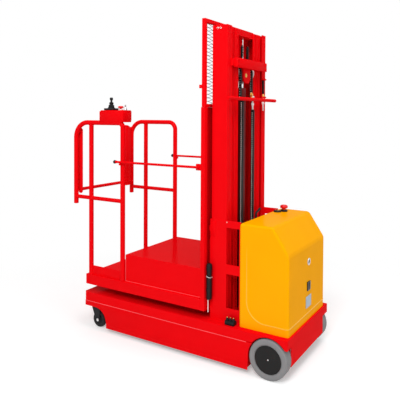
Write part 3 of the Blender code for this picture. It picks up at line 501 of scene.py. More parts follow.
def make_drive_wheel(name, side):
    """Tyre, a thin ring where it meets the rim, hub, and bolts on the hub's inner side."""
    tyre_node, hub_node, body = f"drive_tyre_{name}", f"drive_hub_{name}", f"drive_wheel_{name}"
    centre, radius, half = wheel_sizes(tyre_node)
    out = Vector((0, side, 0))
    rim = radius * HUB_SHARE
    tyre = [(rim + 0.0015, -half + 0.004), (rim + 0.0015, half - 0.0045), (rim + 0.004, half - 0.001),
            (rim + 0.006, half - 0.0005), (radius - 0.016, half)]
    tyre += arc((radius - SHOULDER_R, half - SHOULDER_R), SHOULDER_R, 90, 0, 6)
    tyre += arc((radius - SHOULDER_R, SHOULDER_R - half), SHOULDER_R, 0, -90, 6)
    tyre.append((rim + 0.006, -half))
    Batch(f"tyre_{name}", "grey_rubber", body, angle=60).turned(
        tyre, centre, out, 96, ring=True).done(tyre_node)
    Batch(f"rim_ring_{name}", "grey_rubber", body).turned(
        ((rim - 0.0008, half - 0.006), (rim - 0.0008, half - 0.0030), (rim + 0.0004, half - 0.0024),
         (rim + 0.0015, half - 0.0030), (rim + 0.0015, half - 0.006)), centre, out, 96, ring=True).done()
    back = abs(face_y(hub_node, -side) - centre.y)
    bore, bore_depth = 0.0228, 0.014
    hub = Batch(f"hub_{name}", "dark_hub", body)
    hub.turned(((bore, -back), (bore, bore_depth - back), (0, bore_depth - back)), centre, out, 64)
    hub.turned((
        (0, half - 0.0060), (0.020, half - 0.0060), (0.024, half - 0.0050), (rim - 0.012, half - 0.0036),
        (rim - 0.005, half - 0.0032), (rim - 0.0016, half - 0.0050), (rim - 0.0016, -back + 0.002),
        (rim - 0.006, -back), (rim - 0.012, -back + 0.006), (0.040, -back + 0.012), (0.034, -back),
        (bore, -back)), centre, out, 72)
    hub.done(hub_node)
    bolts = Batch(f"hub_bolts_{name}", "steel", body, "zinc")
    bolts.dome(centre + out * (half - 0.0062), out, 0.0048, 0.0035)
    for x, z in arc((centre.x, centre.z), 0.030, 0, 288, 4):
        bolts.hex_head((x, centre.y - side * (back + 0.0002), z), -out, 0.009, 0.004, washer=False)
    bolts.done()


def make_castor(name, side):
    """Tread, dished hub and the two caps on the axle's ends."""
    node, fork = f"castor_wheel_{name}", f"castor_fork_{name}"
    centre, radius, half = wheel_sizes(node)
    out = Vector((0, side, 0))
    hub_r, tread_r = radius * CASTOR_HUB_SHARE, radius * 0.72
    crown = 0.007
    tread = [(hub_r, -half + 0.003), (hub_r, half - 0.003), (tread_r, half)]
    tread += arc((radius - crown, 0), crown, 90, -90, 8, half - 0.002) + [(tread_r, -half)]
    Batch(f"castor_tyre_{name}", "black_plastic", node, "tyre_black", 60).turned(
        tread, centre, out, 64, ring=True).done(node)
    Batch(f"castor_hub_{name}", "black_plastic", node).turned(
        ((0.0068, -half), (0.0068, half), (0.016, half), (0.018, half - 0.004), (0.030, half - 0.007),
         (hub_r, half - 0.003), (hub_r, -half + 0.003), (0.030, -half + 0.007),
         (0.018, -half + 0.004), (0.016, -half)), centre, out, 48, ring=True).done()
    cap_height = 0.0032
    caps = Batch(f"castor_axle_{name}", "steel", fork, "white_plastic")
    for way in (1, -1):
        end = Vector((centre.x, face_y(fork, way) - way * cap_height, centre.z))
        caps.turned(((0, 0), (0.0105, 0), (0.0105, 0.0012), (0.0085, 0.0030), (0, cap_height)), end,
                    (0, way, 0), 28)
    caps.done()


def make_wheels():
    for name, side in SIDES:
        make_drive_wheel(name, side)
        make_castor(name, side)


def make_skirts():
    """Side skirts: arched over the castor in front and close round the wheel behind."""
    arch_top_z, arch_r, arch_from_rear = 0.161, 0.100, 1.104
    wheel_gap, rear_overlap = 0.006, 0.005
    return_depth, return_foot, return_top = 0.130, 0.006, 0.004
    for name, side in SIDES:
        node = f"skirt_{name}"
        near, far = corners(node)
        tyre, tyre_r, _ = wheel_sizes(f"drive_tyre_{name}")
        reach = tyre_r + wheel_gap
        front_x = near.x + arch_from_rear
        top = math.degrees(math.asin((far.z - tyre.z) / reach))
        outline = [(front_x, near.z)] + arc((front_x + arch_r, arch_top_z - arch_r), arch_r, 180, 90, 12)
        outline += [(far.x, arch_top_z), (far.x, far.z)] + arc((tyre.x, tyre.z), reach, top, 0, 8)
        outline.append((near.x - rear_overlap, near.z))
        inner, outer = face_y(node, -side), face_y(node, side)
        skirt = Batch(f"side_skirt_{name}", "red_paint", "chassis")
        skirt.plate(outline, "Y", inner, outer, 0.0012)
        skirt.box((near.x + 0.003, inner - side * return_depth, near.z + return_foot),
                  (near.x + 0.006, inner, far.z - return_top), 0.0005)
        skirt.done(node)


# Chains
PLATES = 7              # the plates' places across a chain: every other one is filled in a link
CHAIN_PITCH = 0.016
LOWER_PITCH = 0.013
PLATE_SHARE = 0.88      # a plate's height over its solid's depth


def link_plate(shape, centre, along, pitch, height, y0, y1):
    """One figure-of-eight plate between two pins, lying across Y."""
    across = Vector((-along.z, 0, along.x))
    outline = arc((pitch / 2, 0), height / 2, -105, 105, 6) + arc((-pitch / 2, 0), height / 2, 75, 285, 6)
    prism(shape, [[centre + along * u + across * v + Vector((0, y - centre.y, 0)) for u, v in outline]
                  for y in (y0, y1)])


def make_chain(name, points, y, width, height, bodies, replaces=()):
    """A leaf chain: stacks of four and three plates in turn along a path, joined by pins."""
    plates = bmesh.new()
    # The pins are near white: a painted glint on steel pins that sit in shade.
    pins = Batch(f"{name}_pins", "chain_steel", None, "chain_pin_glint")
    gap = width / PLATES
    pin_end = Vector((0, width / 2 + 0.0008, 0))
    for i, (a, b) in enumerate(zip(points, points[1:])):
        a, b = Vector((a[0], y, a[1])), Vector((b[0], y, b[1]))
        along = (b - a).normalized()
        for k in range(i % 2, PLATES, 2):
            y0 = y - width / 2 + k * gap
            link_plate(plates, (a + b) / 2, along, (b - a).length, height, y0 + gap * 0.06, y0 + gap * 0.94)
        pins.rod(a - pin_end, a + pin_end, height * 0.16, 10)
    bmesh.ops.recalc_face_normals(plates, faces=plates.faces)
    chain = link(name, mesh_of(name, plates), "chain_steel", None, None, 50, replaces)
    for made in (chain, pins.done()):
        if len(bodies) == 1:
            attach(made, bodies[0])
        else:
            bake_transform(made)


def straight(x, bottom, top, pitch):
    """An upright path of equal steps."""
    count = round((top - bottom) / pitch)
    return [(x, bottom + (top - bottom) * i / count) for i in range(count + 1)]


def make_chains():
    """Both runs of each chain, its turn over the sheave, and the sheave."""
    for name, _ in SIDES:
        fixed_low, fixed_high = corners(f"chain_fixed_{name}")
        lift_low, lift_high = corners(f"chain_lift_{name}")
        y = (fixed_low.y + fixed_high.y) / 2
        width = fixed_high.y - fixed_low.y
        height = fixed_high.x - fixed_low.x
        rear_x, front_x = (fixed_low.x + fixed_high.x) / 2, (lift_low.x + lift_high.x) / 2
        for strand, x, bottom, top, body in (("fixed", rear_x, fixed_low.z, fixed_high.z, "chassis"),
                                             ("lift", front_x, lift_low.z, lift_high.z, "platform")):
            ends = Vector((x, y, bottom)), Vector((x, y, top))
            make_chain(f"leaf_chain_{strand}_{name}", straight(x, bottom, top, CHAIN_PITCH), y, width,
                       height * PLATE_SHARE, (body, "inner_mast", *ends), (f"chain_{strand}_{name}",))
        centre = Vector(((rear_x + front_x) / 2, y, fixed_high.z))
        reach = (front_x - rear_x) / 2
        wrap = arc((centre.x, centre.z), reach, 180, 0, max(6, round(math.pi * reach / CHAIN_PITCH)))
        make_chain(f"chain_wrap_{name}", wrap, y, width, height * PLATE_SHARE, ("inner_mast",))
        make_sheave(name, centre, reach - height / 2, reach - 0.0025)


def make_sheave(name, centre, root, flange):
    """A wheel with a hub, a thin web and two flanges that hold the chain."""
    node = f"chain_sheave_{name}"
    half = (high(node).y - low(node).y) / 2
    bore, hub_r, sunk = 0.0106, 0.020, 0.003
    side = [(bore, half), (hub_r, half), (hub_r, half - sunk), (root - 0.004, half - sunk),
            (root - 0.001, half - 0.0005), (flange, half - 0.0008), (flange, half - 0.0022),
            (root, half - 0.0033)]
    mirrored = [(radius, -along) for radius, along in side]
    Batch(f"sheave_{name}", "chain_steel", "inner_mast", "sheave_steel").turned(
        mirrored + side[::-1], centre, (0, 1, 0), 64, ring=True).done(node)


# Rails, gate and bars: round tubes with weld beads and end caps
RAIL_R = 0.017
MID_R = 0.014
RAIL_MID_Z = 0.935
LEG_Z = 0.885
REAR_BEND = {"left": 0.034, "right": 0.060}
FRONT_BEND = 0.110
BEAD_R = 0.0022
BAR_R = 0.008
GATE_TUBE_R = 0.012
GATE_PIVOT_DROP = 0.020     # the gate's pivot below its top
GATE_ARM = 0.006            # the thickness of its arms


def bead(batch, centre, axis, radius, thick=BEAD_R):
    """A weld bead round a tube's foot."""
    batch.turned(arc((radius - 0.001, 0), thick * 1.3, 90, -90, 8, thick), centre, axis, 28, ring=True)


def make_rails():
    """Each rail: a hoop, a post, a middle tube, and the blocks that carry the gate and the bar."""
    gate_x = middle("entry_gate").x
    gate_z = high("entry_gate").z - GATE_PIVOT_DROP
    for name, side in SIDES:
        node, bar_node = f"guard_rail_{name}", f"drop_bar_{name}"
        near, far = corners(node)
        inner = face_y(node, -side)
        y = inner + side * RAIL_R
        rear_x, leg_x, top_z, foot_z = near.x + RAIL_R, far.x - RAIL_R, far.z - RAIL_R * 0.97, near.z
        post_x = high(f"toe_board_{name}").x + RAIL_R
        rail = Batch(f"rail_{name}", "red_paint", "platform")
        hoop = bent([(rear_x, y, foot_z), (rear_x, y, top_z), (leg_x, y, top_z), (leg_x, y, LEG_Z)],
                    (REAR_BEND[name], FRONT_BEND), 14)
        rail.pipe(hoop, RAIL_R, 28)
        rail.dome((leg_x, y, LEG_Z), -UP, RAIL_R * 0.97, 0.004, 28)
        rail.rod((post_x, y, foot_z), (post_x, y, top_z), RAIL_R * 0.985, 28, 0)
        rail.rod((rear_x, y, RAIL_MID_Z), (leg_x, y, RAIL_MID_Z), MID_R, 24, 0)
        for x in (rear_x, post_x):
            bead(rail, (x, y, foot_z + BEAD_R), UP, RAIL_R, 0.003)
        bead(rail, (post_x, y, top_z - RAIL_R), UP, RAIL_R)
        for x in (rear_x + RAIL_R, post_x - RAIL_R, post_x + RAIL_R, leg_x - RAIL_R):
            bead(rail, (x, y, RAIL_MID_Z), (1, 0, 0), MID_R)
        block = 0.012
        rail.box((gate_x - block, inner, gate_z - block), (gate_x + block, y, gate_z + block), 0.002)
        bar = middle(bar_node)
        rail.box((rear_x - BAR_R, y + side * RAIL_R * 0.6, bar.z - 0.022),
                 (rear_x + BAR_R, bar.y + side * BAR_R / 2, bar.z - BAR_R - 0.0005), 0.0015)
        rail.done(node)


def make_gate():
    """Two flat arms with round ends, a tube between their feet and a wide stile on the far arm."""
    near, far = corners("entry_gate")
    x, half = (near.x + far.x) / 2, (far.x - near.x) / 2
    inside = far.y - 0.0052
    pin_z = far.z - GATE_PIVOT_DROP
    tube_z = near.z + 0.030
    gate = Batch("gate_frame", "red_paint", "gate")
    arm = arc((x, pin_z), half, 0, 180, 12) + arc((x, near.z + half), half, 180, 360, 12)
    for side in (1, -1):
        gate.plate(arm, "Y", side * (inside - GATE_ARM), side * inside, 0.0012)
        gate.rod((x, side * (inside - 0.002), pin_z), (x, side * far.y, pin_z), 0.008, 24)
        bead(gate, (x, side * (inside - GATE_ARM - 0.0015), tube_z), (0, 1, 0), GATE_TUBE_R)
    gate.rod((x, -inside + 0.003, tube_z), (x, inside - 0.003, tube_z), GATE_TUBE_R, 28, 0)
    stile_wide, stile_curve, stile_drop, stile_half = 0.082, 0.080, 0.045, 0.010
    stile = [(stile_wide - inside, near.z), (-inside, near.z)]
    stile += arc((stile_wide - inside, pin_z - stile_drop), stile_wide, 180, 90, 8, stile_curve)
    gate.plate(stile, "X", x - stile_half, x + stile_half, 0.0015)
    gate.done("entry_gate")
    pins = Batch("gate_pins", "red_paint", "gate")
    for side in (1, -1):
        pins.hex_head((x, side * (inside - GATE_ARM), pin_z), (0, -side, 0), 0.019, 0.007)
    pins.done()


def make_drop_bars():
    """Each bar: a round rod with a ferrule, a ball knob, and the bolt head of its pivot."""
    ferrule, ferrule_r, pivot_from_end = 0.010, 0.0098, 0.012
    for name, side in SIDES:
        node, body = f"drop_bar_{name}", f"bar_{name}"
        near, far = corners(node)
        _, y, z = (near + far) / 2
        knob = (far.z - near.z) / 2
        end_x = far.x - knob
        neck_x = end_x - knob * 0.6
        bar = Batch(body, "red_paint", body)
        bar.rod((near.x, y, z), (neck_x, y, z), BAR_R, 24)
        bar.rod((neck_x - ferrule, y, z), (neck_x, y, z), ferrule_r, 24)
        bar.done(node)
        Batch(f"knob_{name}", "black_plastic", body).turned(
            arc((0, 0), knob, -90, 90, 12), (end_x, y, z), (1, 0, 0), 28).done()
        Batch(f"bar_pin_{name}", "steel", "platform", "zinc").hex_head(
            (near.x + pivot_from_end, y - side * 0.014, z - 0.014), (0, side, 0), 0.008, 0.0035).done()


# Mast: high bar, chain anchors, tie beam, springs and crosshead
HIGH_BAR_R = 0.0115
HIGH_BAR_Z = 1.643
SPARE_ANCHOR_Z = 1.668
SEAT = 0.0003           # a fitting's gap to the flange or chain that it meets
LIP_R = 0.0028
OUTER_LIPS = (0.262, 0.2235)
INNER_LIPS = (0.180, 0.162, 0.140)


def spring(batch, foot, length, radius, wire, turns):
    """An upright coil of round wire."""
    points = []
    per_turn = 12
    steps = turns * per_turn
    for i in range(steps + 1):
        turn = 2 * math.pi * i / per_turn
        rise = length * i / steps
        points.append(Vector(foot) + Vector((radius * math.cos(turn), radius * math.sin(turn), rise)))
    batch.pipe(points, wire, 6)


def threaded(batch, foot, length, radius):
    """An upright threaded rod: ridges turned about its axis."""
    pitch = 0.0025
    root = radius * 0.86
    count = int(length / pitch)
    profile = [(0, 0)]
    for i in range(count):
        profile += [(root, i * pitch), (radius, (i + 0.5) * pitch)]
    batch.turned(profile + [(root, count * pitch), (0, count * pitch)], foot, UP, 14)


def make_high_bar():
    """The bar that holds the chains' ends, with its tabs and the chains' runs down to the deck."""
    near, far = corners("chain_anchor_bar")
    x = near.x + HIGH_BAR_R
    z = HIGH_BAR_Z
    flange = low("outer_mast_left").x
    bar = Batch("high_bar", "red_paint", "chassis")
    bar.rod((x, near.y, z), (x, far.y, z), HIGH_BAR_R, 28, 0.002)
    tab_from_web, tab_half_y, tab_half_z = 0.031, 0.004, 0.008
    for side in (1, -1):
        y = side * (middle("mast_brace_left").y - tab_from_web)
        bar.box((x, y - tab_half_y, z - tab_half_z), (flange - SEAT, y + tab_half_y, z + tab_half_z), 0.001)
        bead(bar, (x + HIGH_BAR_R + 0.001, y, z), (1, 0, 0), 0.006)
    strand_top = {"left": z - 0.012, "right": z - 0.075}
    for name, _ in SIDES:
        chain_low, chain_high = corners(f"chain_fixed_{name}")
        y = (chain_low.y + chain_high.y) / 2
        bar.box((x, y - 0.010, z - 0.006), (chain_high.x, y + 0.010, chain_low.z - SEAT), 0.001)
        path = straight(chain_low.x - 0.004, high("deck_tray").z + 0.003, strand_top[name], LOWER_PITCH)
        make_chain(f"lower_chain_{name}", path, y, 0.018, 0.021, ("chassis",))
    gold = Vector((flange - 0.010, middle("chain_fixed_right").y + 0.046, z + 0.033))
    bar.box((gold.x - 0.002, gold.y - 0.010, z - 0.002), gold + Vector((0.003, 0.010, 0.010)), 0.001)
    bar.done("chain_anchor_bar")
    make_anchors(gold, flange)


def make_anchors(gold, flange):
    """The right chain's threaded rod, a yellow bolt beside it, and a spare anchor with its spring."""
    chain_x, y, z = low("chain_fixed_right").x, middle("chain_fixed_right").y, HIGH_BAR_Z
    rods = Batch("anchor_rods", "steel", "chassis", "white_plastic")
    nuts = Batch("anchor_nuts", "steel", "chassis", "brass")
    rod_x = chain_x - 0.003
    threaded(rods, (rod_x, y, z - 0.074), 0.070, 0.006)
    nuts.hex_head(gold, BACK, 0.017, 0.009)
    nuts.disc(gold - Vector((0.003, 0, 0.028)), UP, 0.006, 0.016, 12)
    web_y = middle("mast_brace_left").y
    anchor = Vector((flange - 0.012, 0.066 - web_y, SPARE_ANCHOR_Z))
    coil = Batch("spare_anchor_spring", "chain_steel", "chassis")
    spring(coil, anchor + UP * 0.022, 0.092, 0.0078, 0.0022, 15)
    coil.rod(anchor + UP * 0.018, anchor + UP * 0.122, 0.0036, 12)
    coil.done()
    clip = Batch("spare_anchor_clips", "red_paint", "chassis")
    for rise in (0.116, -0.008):
        clip.box(anchor + Vector((-0.009, -0.034, rise)),
                 (flange - SEAT, anchor.y + 0.010, anchor.z + rise + 0.010), 0.001)
    clip.done()
    nuts.nut(anchor, 0.0095, 0.016, 0.001)
    threaded(rods, anchor - UP * 0.096, 0.096, 0.0058)
    for spot in ((rod_x, y, z - 0.036), (rod_x - 0.002, y, z + 0.012), anchor - UP * 0.052):
        rods.nut(spot, 0.0095, 0.014, 0.0015)
    rods.done()
    nuts.done()


def make_tie_beam():
    """A bar across the uprights with a foot and two bolts at each end."""
    near, far = corners("mast_tie_beam")
    front = low("outer_mast_left").x - SEAT
    half = abs(near.y) - 0.021
    back = front - 0.038
    beam = Batch("tie_beam", "red_paint", "chassis")
    bolts = Batch("tie_beam_bolts", "red_paint", "chassis")
    beam.box((back, -half, near.z), (front - 0.013, half, far.z), 0.002)
    for side in (1, -1):
        beam.box((front - 0.016, side * (half - 0.030), near.z + 0.008),
                 (front, side * (half + 0.018), far.z - 0.008), 0.001)
        for z in (near.z + 0.014, far.z - 0.014):
            bolts.hex_head((back, side * (half - 0.016), z), BACK, 0.010, 0.004)
    beam.done("mast_tie_beam")
    bolts.done()


def make_head_shield():
    """The sheet that hangs from the inner top beam in front of the chains."""
    top = low("inner_top_beam").z + 0.002
    x = middle("piston_rod").x + 0.034
    narrow, wide = 0.064, 0.090
    ear_z, neck_z, foot_z = 1.885, 1.872, 1.765
    half_thick = 0.0012
    half = [(wide, top), (wide, ear_z), (narrow, neck_z), (narrow, foot_z)]
    Batch("head_shield", "red_paint", "inner_mast").plate(
        half + [(-y, z) for y, z in reversed(half)], "X", x - half_thick, x + half_thick, 0.0006).done()


def make_mast_lips():
    """Rolled edges along the uprights' rear flanges."""
    x = low("outer_mast_left").x + 0.0006
    outer = Batch("outer_mast_lips", "red_paint", "chassis")
    inner = Batch("inner_mast_lips", "red_paint", "inner_mast")
    for name, side in SIDES:
        stages = ((outer, OUTER_LIPS, high("deck_tray").z, high(f"outer_mast_{name}").z - 0.003),
                  (inner, INNER_LIPS, low(f"inner_mast_{name}").z, high(f"inner_mast_{name}").z - 0.004))
        for lips, places, foot, top in stages:
            for y in places:
                lips.rod((x, side * y, foot + 0.010), (x, side * y, top), LIP_R, 12)
    outer.done()
    inner.done()


def make_seams():
    """Thin seams along the skirts' top and round the step's foot, drawn in a pale pinkish red that is a
    painted highlight: the light that catches these edges.
    """
    seam_r, riser_r, start = 0.0018, 0.0016, 0.004
    # The seams' pale red is a painted highlight along the edges, not a paint of its own.
    seams = Batch("skirt_seams", "red_paint", "chassis", "seam_painted_highlight")
    for name, side in SIDES:
        node = f"skirt_{name}"
        near, far = corners(node)
        y, z = face_y(node, side) - side * 0.0008, far.z - 0.0012
        seams.rod((near.x + start, y, z), (far.x, y, z), seam_r, 10)
    seams.done()
    seams = Batch("step_seams", "red_paint", "platform", "seam_painted_highlight")
    near, far = corners("raised_deck")
    z = high("platform_pan").z
    for y in (near.y, far.y):
        seams.rod((near.x + start, y, z), (far.x, y, z), seam_r, 10)
        seams.rod((far.x, y, z), (far.x, y, far.z - 0.002), riser_r, 10)
    seams.rod((far.x, near.y, z), (far.x, far.y, z), seam_r, 10)
    seams.done()


def make_apron_ends():
    """The rear apron's ends, out to the wheels."""
    near, far = corners("rear_apron")
    apron = Batch("apron_ends", "red_paint", "chassis")
    for side in (1, -1):
        apron.box((near.x, side * (far.y - 0.002), near.z), (far.x, side * (far.y + 0.013), far.z), 0.001)
    apron.done()


def make_crosshead():
    """The crosshead's bolt, and two springs on rods that stand on it."""
    near, far = corners("lift_crosshead")
    bolt_y, bolt_rise = 0.014, 0.052
    Batch("crosshead_bolt", "steel", "inner_mast", "brass").hex_head(
        (near.x, bolt_y, near.z + bolt_rise), BACK, 0.013, 0.0022).done()
    springs = Batch("head_springs", "chain_steel", "inner_mast")
    rods = Batch("head_spring_rods", "steel", "inner_mast", "zinc")
    x = near.x + 0.0125
    rod_r = 0.0045
    places_y = (0.050, -0.030)
    for y in places_y:
        top = Vector((x, y, far.z))
        foot = top + UP * 0.024
        spring(springs, foot, 0.070, 0.0088, 0.0025, 9)
        springs.rod(top + UP * 0.010, foot + UP * 0.080, rod_r, 12)
        springs.disc(foot + UP * 0.074, UP, 0.0085, 0.003, 20)
        rods.rod(top - UP * 0.004, top + UP * 0.012, rod_r, 12)
        rods.nut(top + UP * 0.008, 0.0088, 0.009, 0.0013)
    springs.done()
    rods.done()


def make_head_details():
    """The far sheave's outer flange and a white clip with two curls on the near upright."""
    sheave = middle("chain_sheave_right")
    Batch("sheave_flange", "steel", "inner_mast", "zinc").turned(
        ((0.018, -0.0012), (0.055, -0.0012), (0.0575, 0), (0.055, 0.0012), (0.018, 0.0012)),
        (sheave.x, low("chain_fixed_right").y - 0.0022, sheave.z), (0, 1, 0), 48, ring=True).done()
    clip_z, clip_from_rod, curl_apart, curl_wide, curl_tall = 2.080, 0.0065, 0.0095, 0.0065, 0.0048
    x, y = middle("piston_rod").x + clip_from_rod, high("outer_mast_left").y + 0.0025
    clip = Batch("mast_clip", "steel", "chassis", "white_plastic")
    for lean in (curl_apart, -curl_apart):
        curl = arc((x + lean, clip_z), curl_wide, 0, 264, 11, curl_tall)
        clip.pipe([(px, y, pz) for px, pz in curl], 0.0020, 8)
    clip.done()


def make_braces():
    """On each brace: a small bolt, a weld along its foot and a rounded lug."""
    bolts = Batch("brace_bolts", "steel", "chassis", "zinc")
    welds = Batch("brace_welds", "red_paint", "chassis")
    for name, side in SIDES:
        node = f"mast_brace_{name}"
        near, far = corners(node)
        face = face_y(node, side)
        bolts.dome((near.x + 0.098, face, far.z - 0.010), (0, side, 0), 0.0036, 0.0018)
        y, z = face - side * 0.0005, near.z + 0.001
        welds.pipe([(near.x + 0.010, y, z), (far.x - 0.010, y, z)], 0.0028, 10)
        lug = arc((far.x - 0.030, far.z - 0.060), 0.034, -90, 90, 12, 0.046)
        lug += [(far.x - 0.042, far.z - 0.014), (far.x - 0.042, far.z - 0.106)]
        welds.plate(lug, "Y", face - side * 0.001, face + side * 0.0040, 0.0012)
    bolts.done()
    welds.done()


def make_strut():
    """The buffer strut: a stepped black body with two clips, a white band and a thin rod under it."""
    near, far = corners("buffer_strut")
    strut_r = 0.0175
    x, y = near.x + strut_r, far.y - strut_r
    height = far.z - near.z
    band_z, band_r, band_lean, rod_foot_z = 0.524, 0.0178, 0.004, 0.300
    trim = Batch("strut_trim", "steel", "platform", "white_plastic")
    band = [(px, py, band_z + (px - x) * band_lean / band_r) for px, py in arc((x, y), band_r, 0, 345, 23)]
    trim.pipe(band, 0.0016, 8, closed=True)
    trim.rod((x + 0.004, y + 0.006, rod_foot_z), (x + 0.004, y + 0.006, near.z + 0.004), 0.0034, 12)
    trim.done()
    body = Batch("strut_body", "black_plastic", "platform")
    body.turned(((0, 0), (0.0150, 0), (0.0170, 0.003), (0.0170, height * 0.62), (0.0150, height * 0.63),
                 (0.0150, height * 0.66), (0.0165, height * 0.67), (0.0165, height - 0.006), (0.0135, height),
                 (0, height)), (x, y, near.z), UP, 32)
    for z in (far.z - 0.030, near.z + 0.060):
        body.box((x, y - 0.008, z - 0.012), (far.x, y + 0.008, z + 0.012), 0.001)
        body.turned(((0.0150, -0.010), (0.0176, -0.010), (0.0176, 0.010), (0.0150, 0.010)), (x, y, z), UP, 32,
                    ring=True)
    body.done("buffer_strut")


# Power unit: cover, bead, lock, gauge, plate, stop button and socket
def make_cover():
    """The cover, and the raised bead that runs down each side and round the rear, in a lighter yellow that is
    a painted highlight along the moulded line.
    """
    node = "power_cover"
    dress(node, 0.008, "cover_shell", 4, 22)
    near, far = corners(node)
    line_from_rear, line_top_z, line_z, bend_r = 0.269, 0.760, 0.303, 0.120
    bead_r, end_r, sunk = 0.0036, 0.0012, 0.0012
    corner = 0.020
    corner_r = corner - sunk
    line = Batch("cover_moulding", "yellow_paint", "chassis", "bead_painted_highlight", 80)
    line_x, back_x = near.x + line_from_rear, near.x + corner
    for side in (1, -1):
        y = face_y(node, side) - side * sunk
        points = bent([(line_x, y, line_top_z), (line_x, y, line_z), (back_x, y, line_z)], (bend_r,), 16)
        line.pipe(points, [end_r] + [bead_r] * (len(points) - 1), 10)
    half = far.y - corner
    line.pipe([(near.x + sunk, -half, line_z), (near.x + sunk, half, line_z)], bead_r, 10)
    for side in (1, -1):
        turn = arc((back_x, side * half), corner_r, 90, 180, 6, side * corner_r)
        line.pipe([(x, y, line_z) for x, y in turn], bead_r, 10)
    line.done()


def make_rear_fittings():
    """Key lock, charge gauge with its trim, and the blank plate with its rivets."""
    face = low("power_cover").x
    spot = middle("key_switch")
    spot.x = face
    Batch("lock_ring", "steel", "chassis", "zinc").turned(
        ((0.0135, 0), (0.0215, 0), (0.0225, 0.002), (0.0215, 0.0045), (0.0165, 0.0055), (0.0135, 0.0035)),
        spot, BACK, 40, ring=True).done()
    barrel = Batch("lock_barrel", "black_plastic", "chassis")
    barrel.turned(((0, 0.0030), (0.0135, 0.0032), (0.0135, 0), (0, 0)), spot, BACK, 32)
    barrel.box(spot - Vector((0.0052, 0.0012, 0.006)), spot + Vector((-0.001, 0.0012, 0.006)), 0.0004)
    barrel.done("key_switch")
    narrower = Vector((0, 0.009, 0))
    near, far = low("charge_gauge") + narrower, high("charge_gauge") - narrower
    gauge = Batch("gauge_case", "black_plastic", "chassis")
    gauge.box(near, (face + 0.0003, far.y, far.z), 0.002)
    gauge.box((near.x - 0.0006, near.y + 0.006, near.z + 0.007), (face, far.y - 0.006, far.z - 0.007), 0.0005)
    gauge.done("charge_gauge")
    inset = 0.004
    y0, y1, z0, z1 = near.y + inset, far.y - inset, near.z + inset, far.z - inset
    Batch("gauge_trim", "steel", "chassis", "zinc").pipe(
        [(near.x, y, z) for y, z in ((y0, z0), (y1, z0), (y1, z1), (y0, z1))], 0.0008, 6, closed=True).done()
    near, far = corners("blank_plate")
    Batch("plate", "plate_grey", "chassis").box(near, far, 0.0008).done("blank_plate")
    inset = 0.006
    rivets = Batch("plate_rivets", "steel", "chassis", "zinc")
    for y in (near.y + inset, far.y - inset):
        for z in (near.z + inset, far.z - inset):
            rivets.dome((near.x, y, z), BACK, 0.0022, 0.0010, 14)
    rivets.done()


def mushroom(name, node, body, collar_finish="black_plastic", wider=1, taller=1):
    """An emergency stop: collar, neck and a domed head with a soft rim."""
    near, far = corners(node)
    foot = foot_of(node)
    radius = (far.x - near.x) / 2 * wider
    height = (far.z - near.z) * taller
    collar = ((0, 0), (0.92, 0), (0.92, 0.16), (0.78, 0.26), (0.60, 0.28), (0, 0.28))
    head = ((0, 0.25), (0.52, 0.25), (0.52, 0.48), (0.90, 0.52), (1, 0.60), (1, 0.74), (0.93, 0.88),
            (0.70, 0.96), (0.35, 0.99), (0, 1))

    def sized(shares):
        return [(radius * across, height * along) for across, along in shares]

    Batch(f"{name}_collar", "black_plastic", body, collar_finish).turned(sized(collar), foot, UP, 36).done()
    Batch(name, "red_plastic", body, angle=60).turned(sized(head), foot, UP, 40).done(node)


def make_cover_top():
    """The stop button, the round socket with four pins, and a short hose elbow at the cover's edge."""
    mushroom("cover_stop", "cover_stop_button", "chassis", wider=1.2, taller=1.35)
    spot = low("cover_socket") + Vector((0.046, 0.005, 0))
    Batch("cover_socket_body", "black_plastic", "chassis").turned(
        ((0, 0), (0.025, 0), (0.025, 0.006), (0.022, 0.010), (0.018, 0.010), (0.018, 0.006), (0, 0.006)),
        spot, UP, 36).done("cover_socket")
    pins = Batch("cover_socket_pins", "steel", "chassis", "brass")
    for i in range(4):
        turn = math.pi / 2 * i + 0.5
        foot = spot + Vector((0.010 * math.cos(turn), 0.010 * math.sin(turn), 0.005))
        pins.rod(foot, foot + UP * 0.008, 0.0036, 14)
    pins.done()
    elbow = Batch("hose_elbow", "black_plastic", "chassis")
    foot = at(-0.400, -0.034, 0.840)
    points = bent([foot, foot + Vector((0, 0, 0.048)), foot + Vector((0, -0.050, 0.064))], (0.014,))
    elbow.pipe(points, 0.0068, 18)
    elbow.rod(points[-1], points[-1] + Vector((0, -0.012, 0.003)), 0.0088, 16)
    elbow.done()


def make_deck_connector():
    """Three glands in a block on the deck beside the mast foot."""
    node = "deck_connector"
    near, far = corners(node)
    rise = (far.z - near.z) * 0.55
    y = middle(node).y
    body = Batch("connector_block", "black_plastic", "chassis")
    body.box((near.x, near.y + 0.002, near.z), (far.x, far.y - 0.002, near.z + rise), 0.003)
    brass = Batch("connector_tips", "steel", "chassis", "brass")
    count = 3
    for i in range(count):
        x = near.x + (far.x - near.x) * (i + 0.5) / count
        body.turned(((0, 0), (0.010, 0), (0.010, 0.006), (0.008, 0.008), (0.008, 0.014), (0.0062, 0.018),
                     (0, 0.018)), (x, y, near.z + rise - 0.002), UP, 20)
        body.turned(((0, 0), (0.0085, 0), (0.0085, 0.006), (0.006, 0.009), (0, 0.009)),
                    (x, far.y - 0.009, near.z + rise * 0.5), (0, 1, 0), 18)
        brass.rod((x, y, near.z + rise + 0.010), (x, y, far.z), 0.0042, 14)
    body.done(node)
    brass.done()


